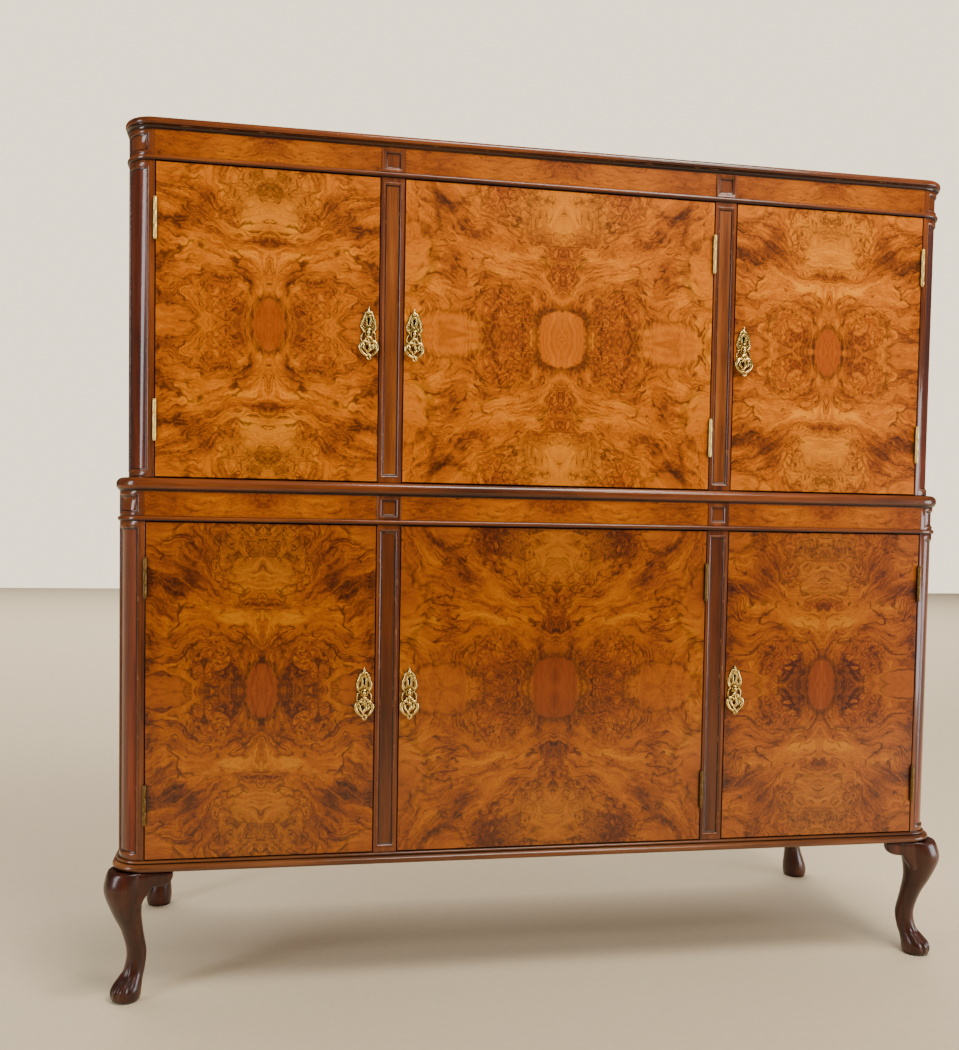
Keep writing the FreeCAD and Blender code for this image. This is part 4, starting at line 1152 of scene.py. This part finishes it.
def dress_doors():
    """The doors with their hinges, locks and pulls."""
    bright = brass("brass_bright", gloss=0.14)
    hinge_brass = brass("brass_hinge", gloss=0.2, darker_below=foot("waist_board"), metal=0.6)
    lock_steel = steel()
    soften("hinge_frame_leaves", BRASS_EDGE, hinge_brass)
    soften("hinge_pins", BRASS_EDGE, hinge_brass)
    for door in DOORS:
        soften(f"{door}_door", PANEL_EDGE, door_veneer(door))
        soften(f"{door}_hinge_leaves", BRASS_EDGE, hinge_brass)
        soften(f"{door}_lock_case", THIN_EDGE, lock_steel)
        soften(f"{door}_lock_bolt", BOLT_EDGE, lock_steel)
        pull(door, bright)


# Studio

IMAGE_WIDTH, IMAGE_HEIGHT = 959, 1050
CAMERA_PLACE = Vector((-0.4938, -1.9573, 0.793))
CAMERA_TURNS = (-9.675, 2.265, 0.887)
FOCAL_PIXELS = 1006.0
CENTRE_PIXEL = (445.1, 573.8)
SENSOR_WIDTH = 36
CABINET_AIM = (0, FRONT, 0.8)
Light = namedtuple("Light", "name place aim width height power tint reflected", defaults=(True,))
LIGHTS = [
    Light("key", (0.6, -1.4, 3.2), CABINET_AIM, 1.6, 0.8, 104, (1.0, 0.94, 0.84)),
    Light("lamp", (1.5, -2.6, 2.9), CABINET_AIM, 0.9, 0.5, 30, (1.0, 0.92, 0.78)),
    Light("left_window", (-2.9, -1.6, 1.4), CABINET_AIM, 0.7, 1.7, 48, (0.95, 0.97, 1.0)),
    Light("right_window", (3.0, -1.6, 0.65), (0.6, FRONT, 0.5), 1.6, 1.2, 66, (0.94, 0.95, 1.0)),
    Light("floor_light", (0.0, 6.5, 5.0), (0, 6.5, 0), 20.0, 9.0, 2000, (1.0, 0.97, 0.92), False)]
FLOOR_REACH = 12.0
FLOOR_COLOURS = shades((196, 178, 148), (212, 194, 164))
# Colour and strength
AROUND = (shade(226, 220, 208), 0.13)
BACKDROP = (shade(240, 227, 198), 2.3)


def add_camera():
    """A camera at the photograph's place, with its turns in degrees and its frame in pixels."""
    yaw, pitch, roll = (math.radians(turn) for turn in CAMERA_TURNS)
    turn = Matrix.Rotation(roll, 3, "Z") @ Matrix.Rotation(pitch, 3, "X") @ Matrix.Rotation(yaw, 3, "Y")
    right, down, forward = turn @ Matrix(((1, 0, 0), (0, 0, -1), (0, 1, 0)))
    data = bpy.data.cameras.new("camera")
    camera = add_object("camera", data)
    camera.matrix_world = Matrix((right, -down, -forward)).transposed().to_4x4()
    camera.location = CAMERA_PLACE
    data.sensor_fit = "HORIZONTAL"
    data.sensor_width = SENSOR_WIDTH
    data.lens = FOCAL_PIXELS / IMAGE_WIDTH * SENSOR_WIDTH
    data.shift_x = (IMAGE_WIDTH / 2 - CENTRE_PIXEL[0]) / IMAGE_WIDTH
    data.shift_y = (CENTRE_PIXEL[1] - IMAGE_HEIGHT / 2) / IMAGE_WIDTH
    bpy.context.scene.camera = camera


def add_light(light):
    """A soft box that faces a point and that the camera doesn't see."""
    data = bpy.data.lights.new(light.name, "AREA")
    with_settings(data, {"shape": "RECTANGLE", "size": light.width, "size_y": light.height,
                         "energy": light.power, "color": light.tint})
    box = add_object(light.name, data)
    box.location = light.place
    box.visible_camera = False
    box.visible_glossy = light.reflected
    box.rotation_euler = (Vector(light.aim) - Vector(light.place)).to_track_quat("-Z", "Y").to_euler()


def add_floor():
    """A plain pale floor with a fine speckle."""
    paint = Paint("pale_floor")
    x, y, z = paint.place()
    speck = paint.noise(x * 60, y * 60, z, 4.0, 0.7)
    mesh = bpy.data.meshes.new("floor")
    corners = [(x * FLOOR_REACH, y * FLOOR_REACH, 0) for x, y in ((-1, -1), (1, -1), (1, 1), (-1, 1))]
    mesh.from_pydata(corners, [], [(0, 1, 2, 3)])
    mesh.materials.append(paint.finish(paint.ramp(speck, FLOOR_COLOURS), 0.85))
    add_object("floor", mesh)


def add_world():
    """A weak even light all round, seen by the camera as a pale backdrop."""
    world = bpy.data.worlds.new("studio")
    world.use_nodes = True
    tree = world.node_tree
    around = tree.nodes["Background"]
    backdrop = tree.nodes.new("ShaderNodeBackground")
    for node, (colour, strength) in ((around, AROUND), (backdrop, BACKDROP)):
        node.inputs["Color"].default_value = colour
        node.inputs["Strength"].default_value = strength
    seen = tree.nodes.new("ShaderNodeLightPath")
    mix = tree.nodes.new("ShaderNodeMixShader")
    tree.links.new(seen.outputs["Is Camera Ray"], mix.inputs[0])
    tree.links.new(around.outputs[0], mix.inputs[1])
    tree.links.new(backdrop.outputs[0], mix.inputs[2])
    tree.links.new(mix.outputs[0], tree.nodes["World Output"].inputs["Surface"])
    bpy.context.scene.world = world


dress_carcase()
dress_doors()
add_camera()
add_floor()
add_world()
for light in LIGHTS:
    add_light(light)
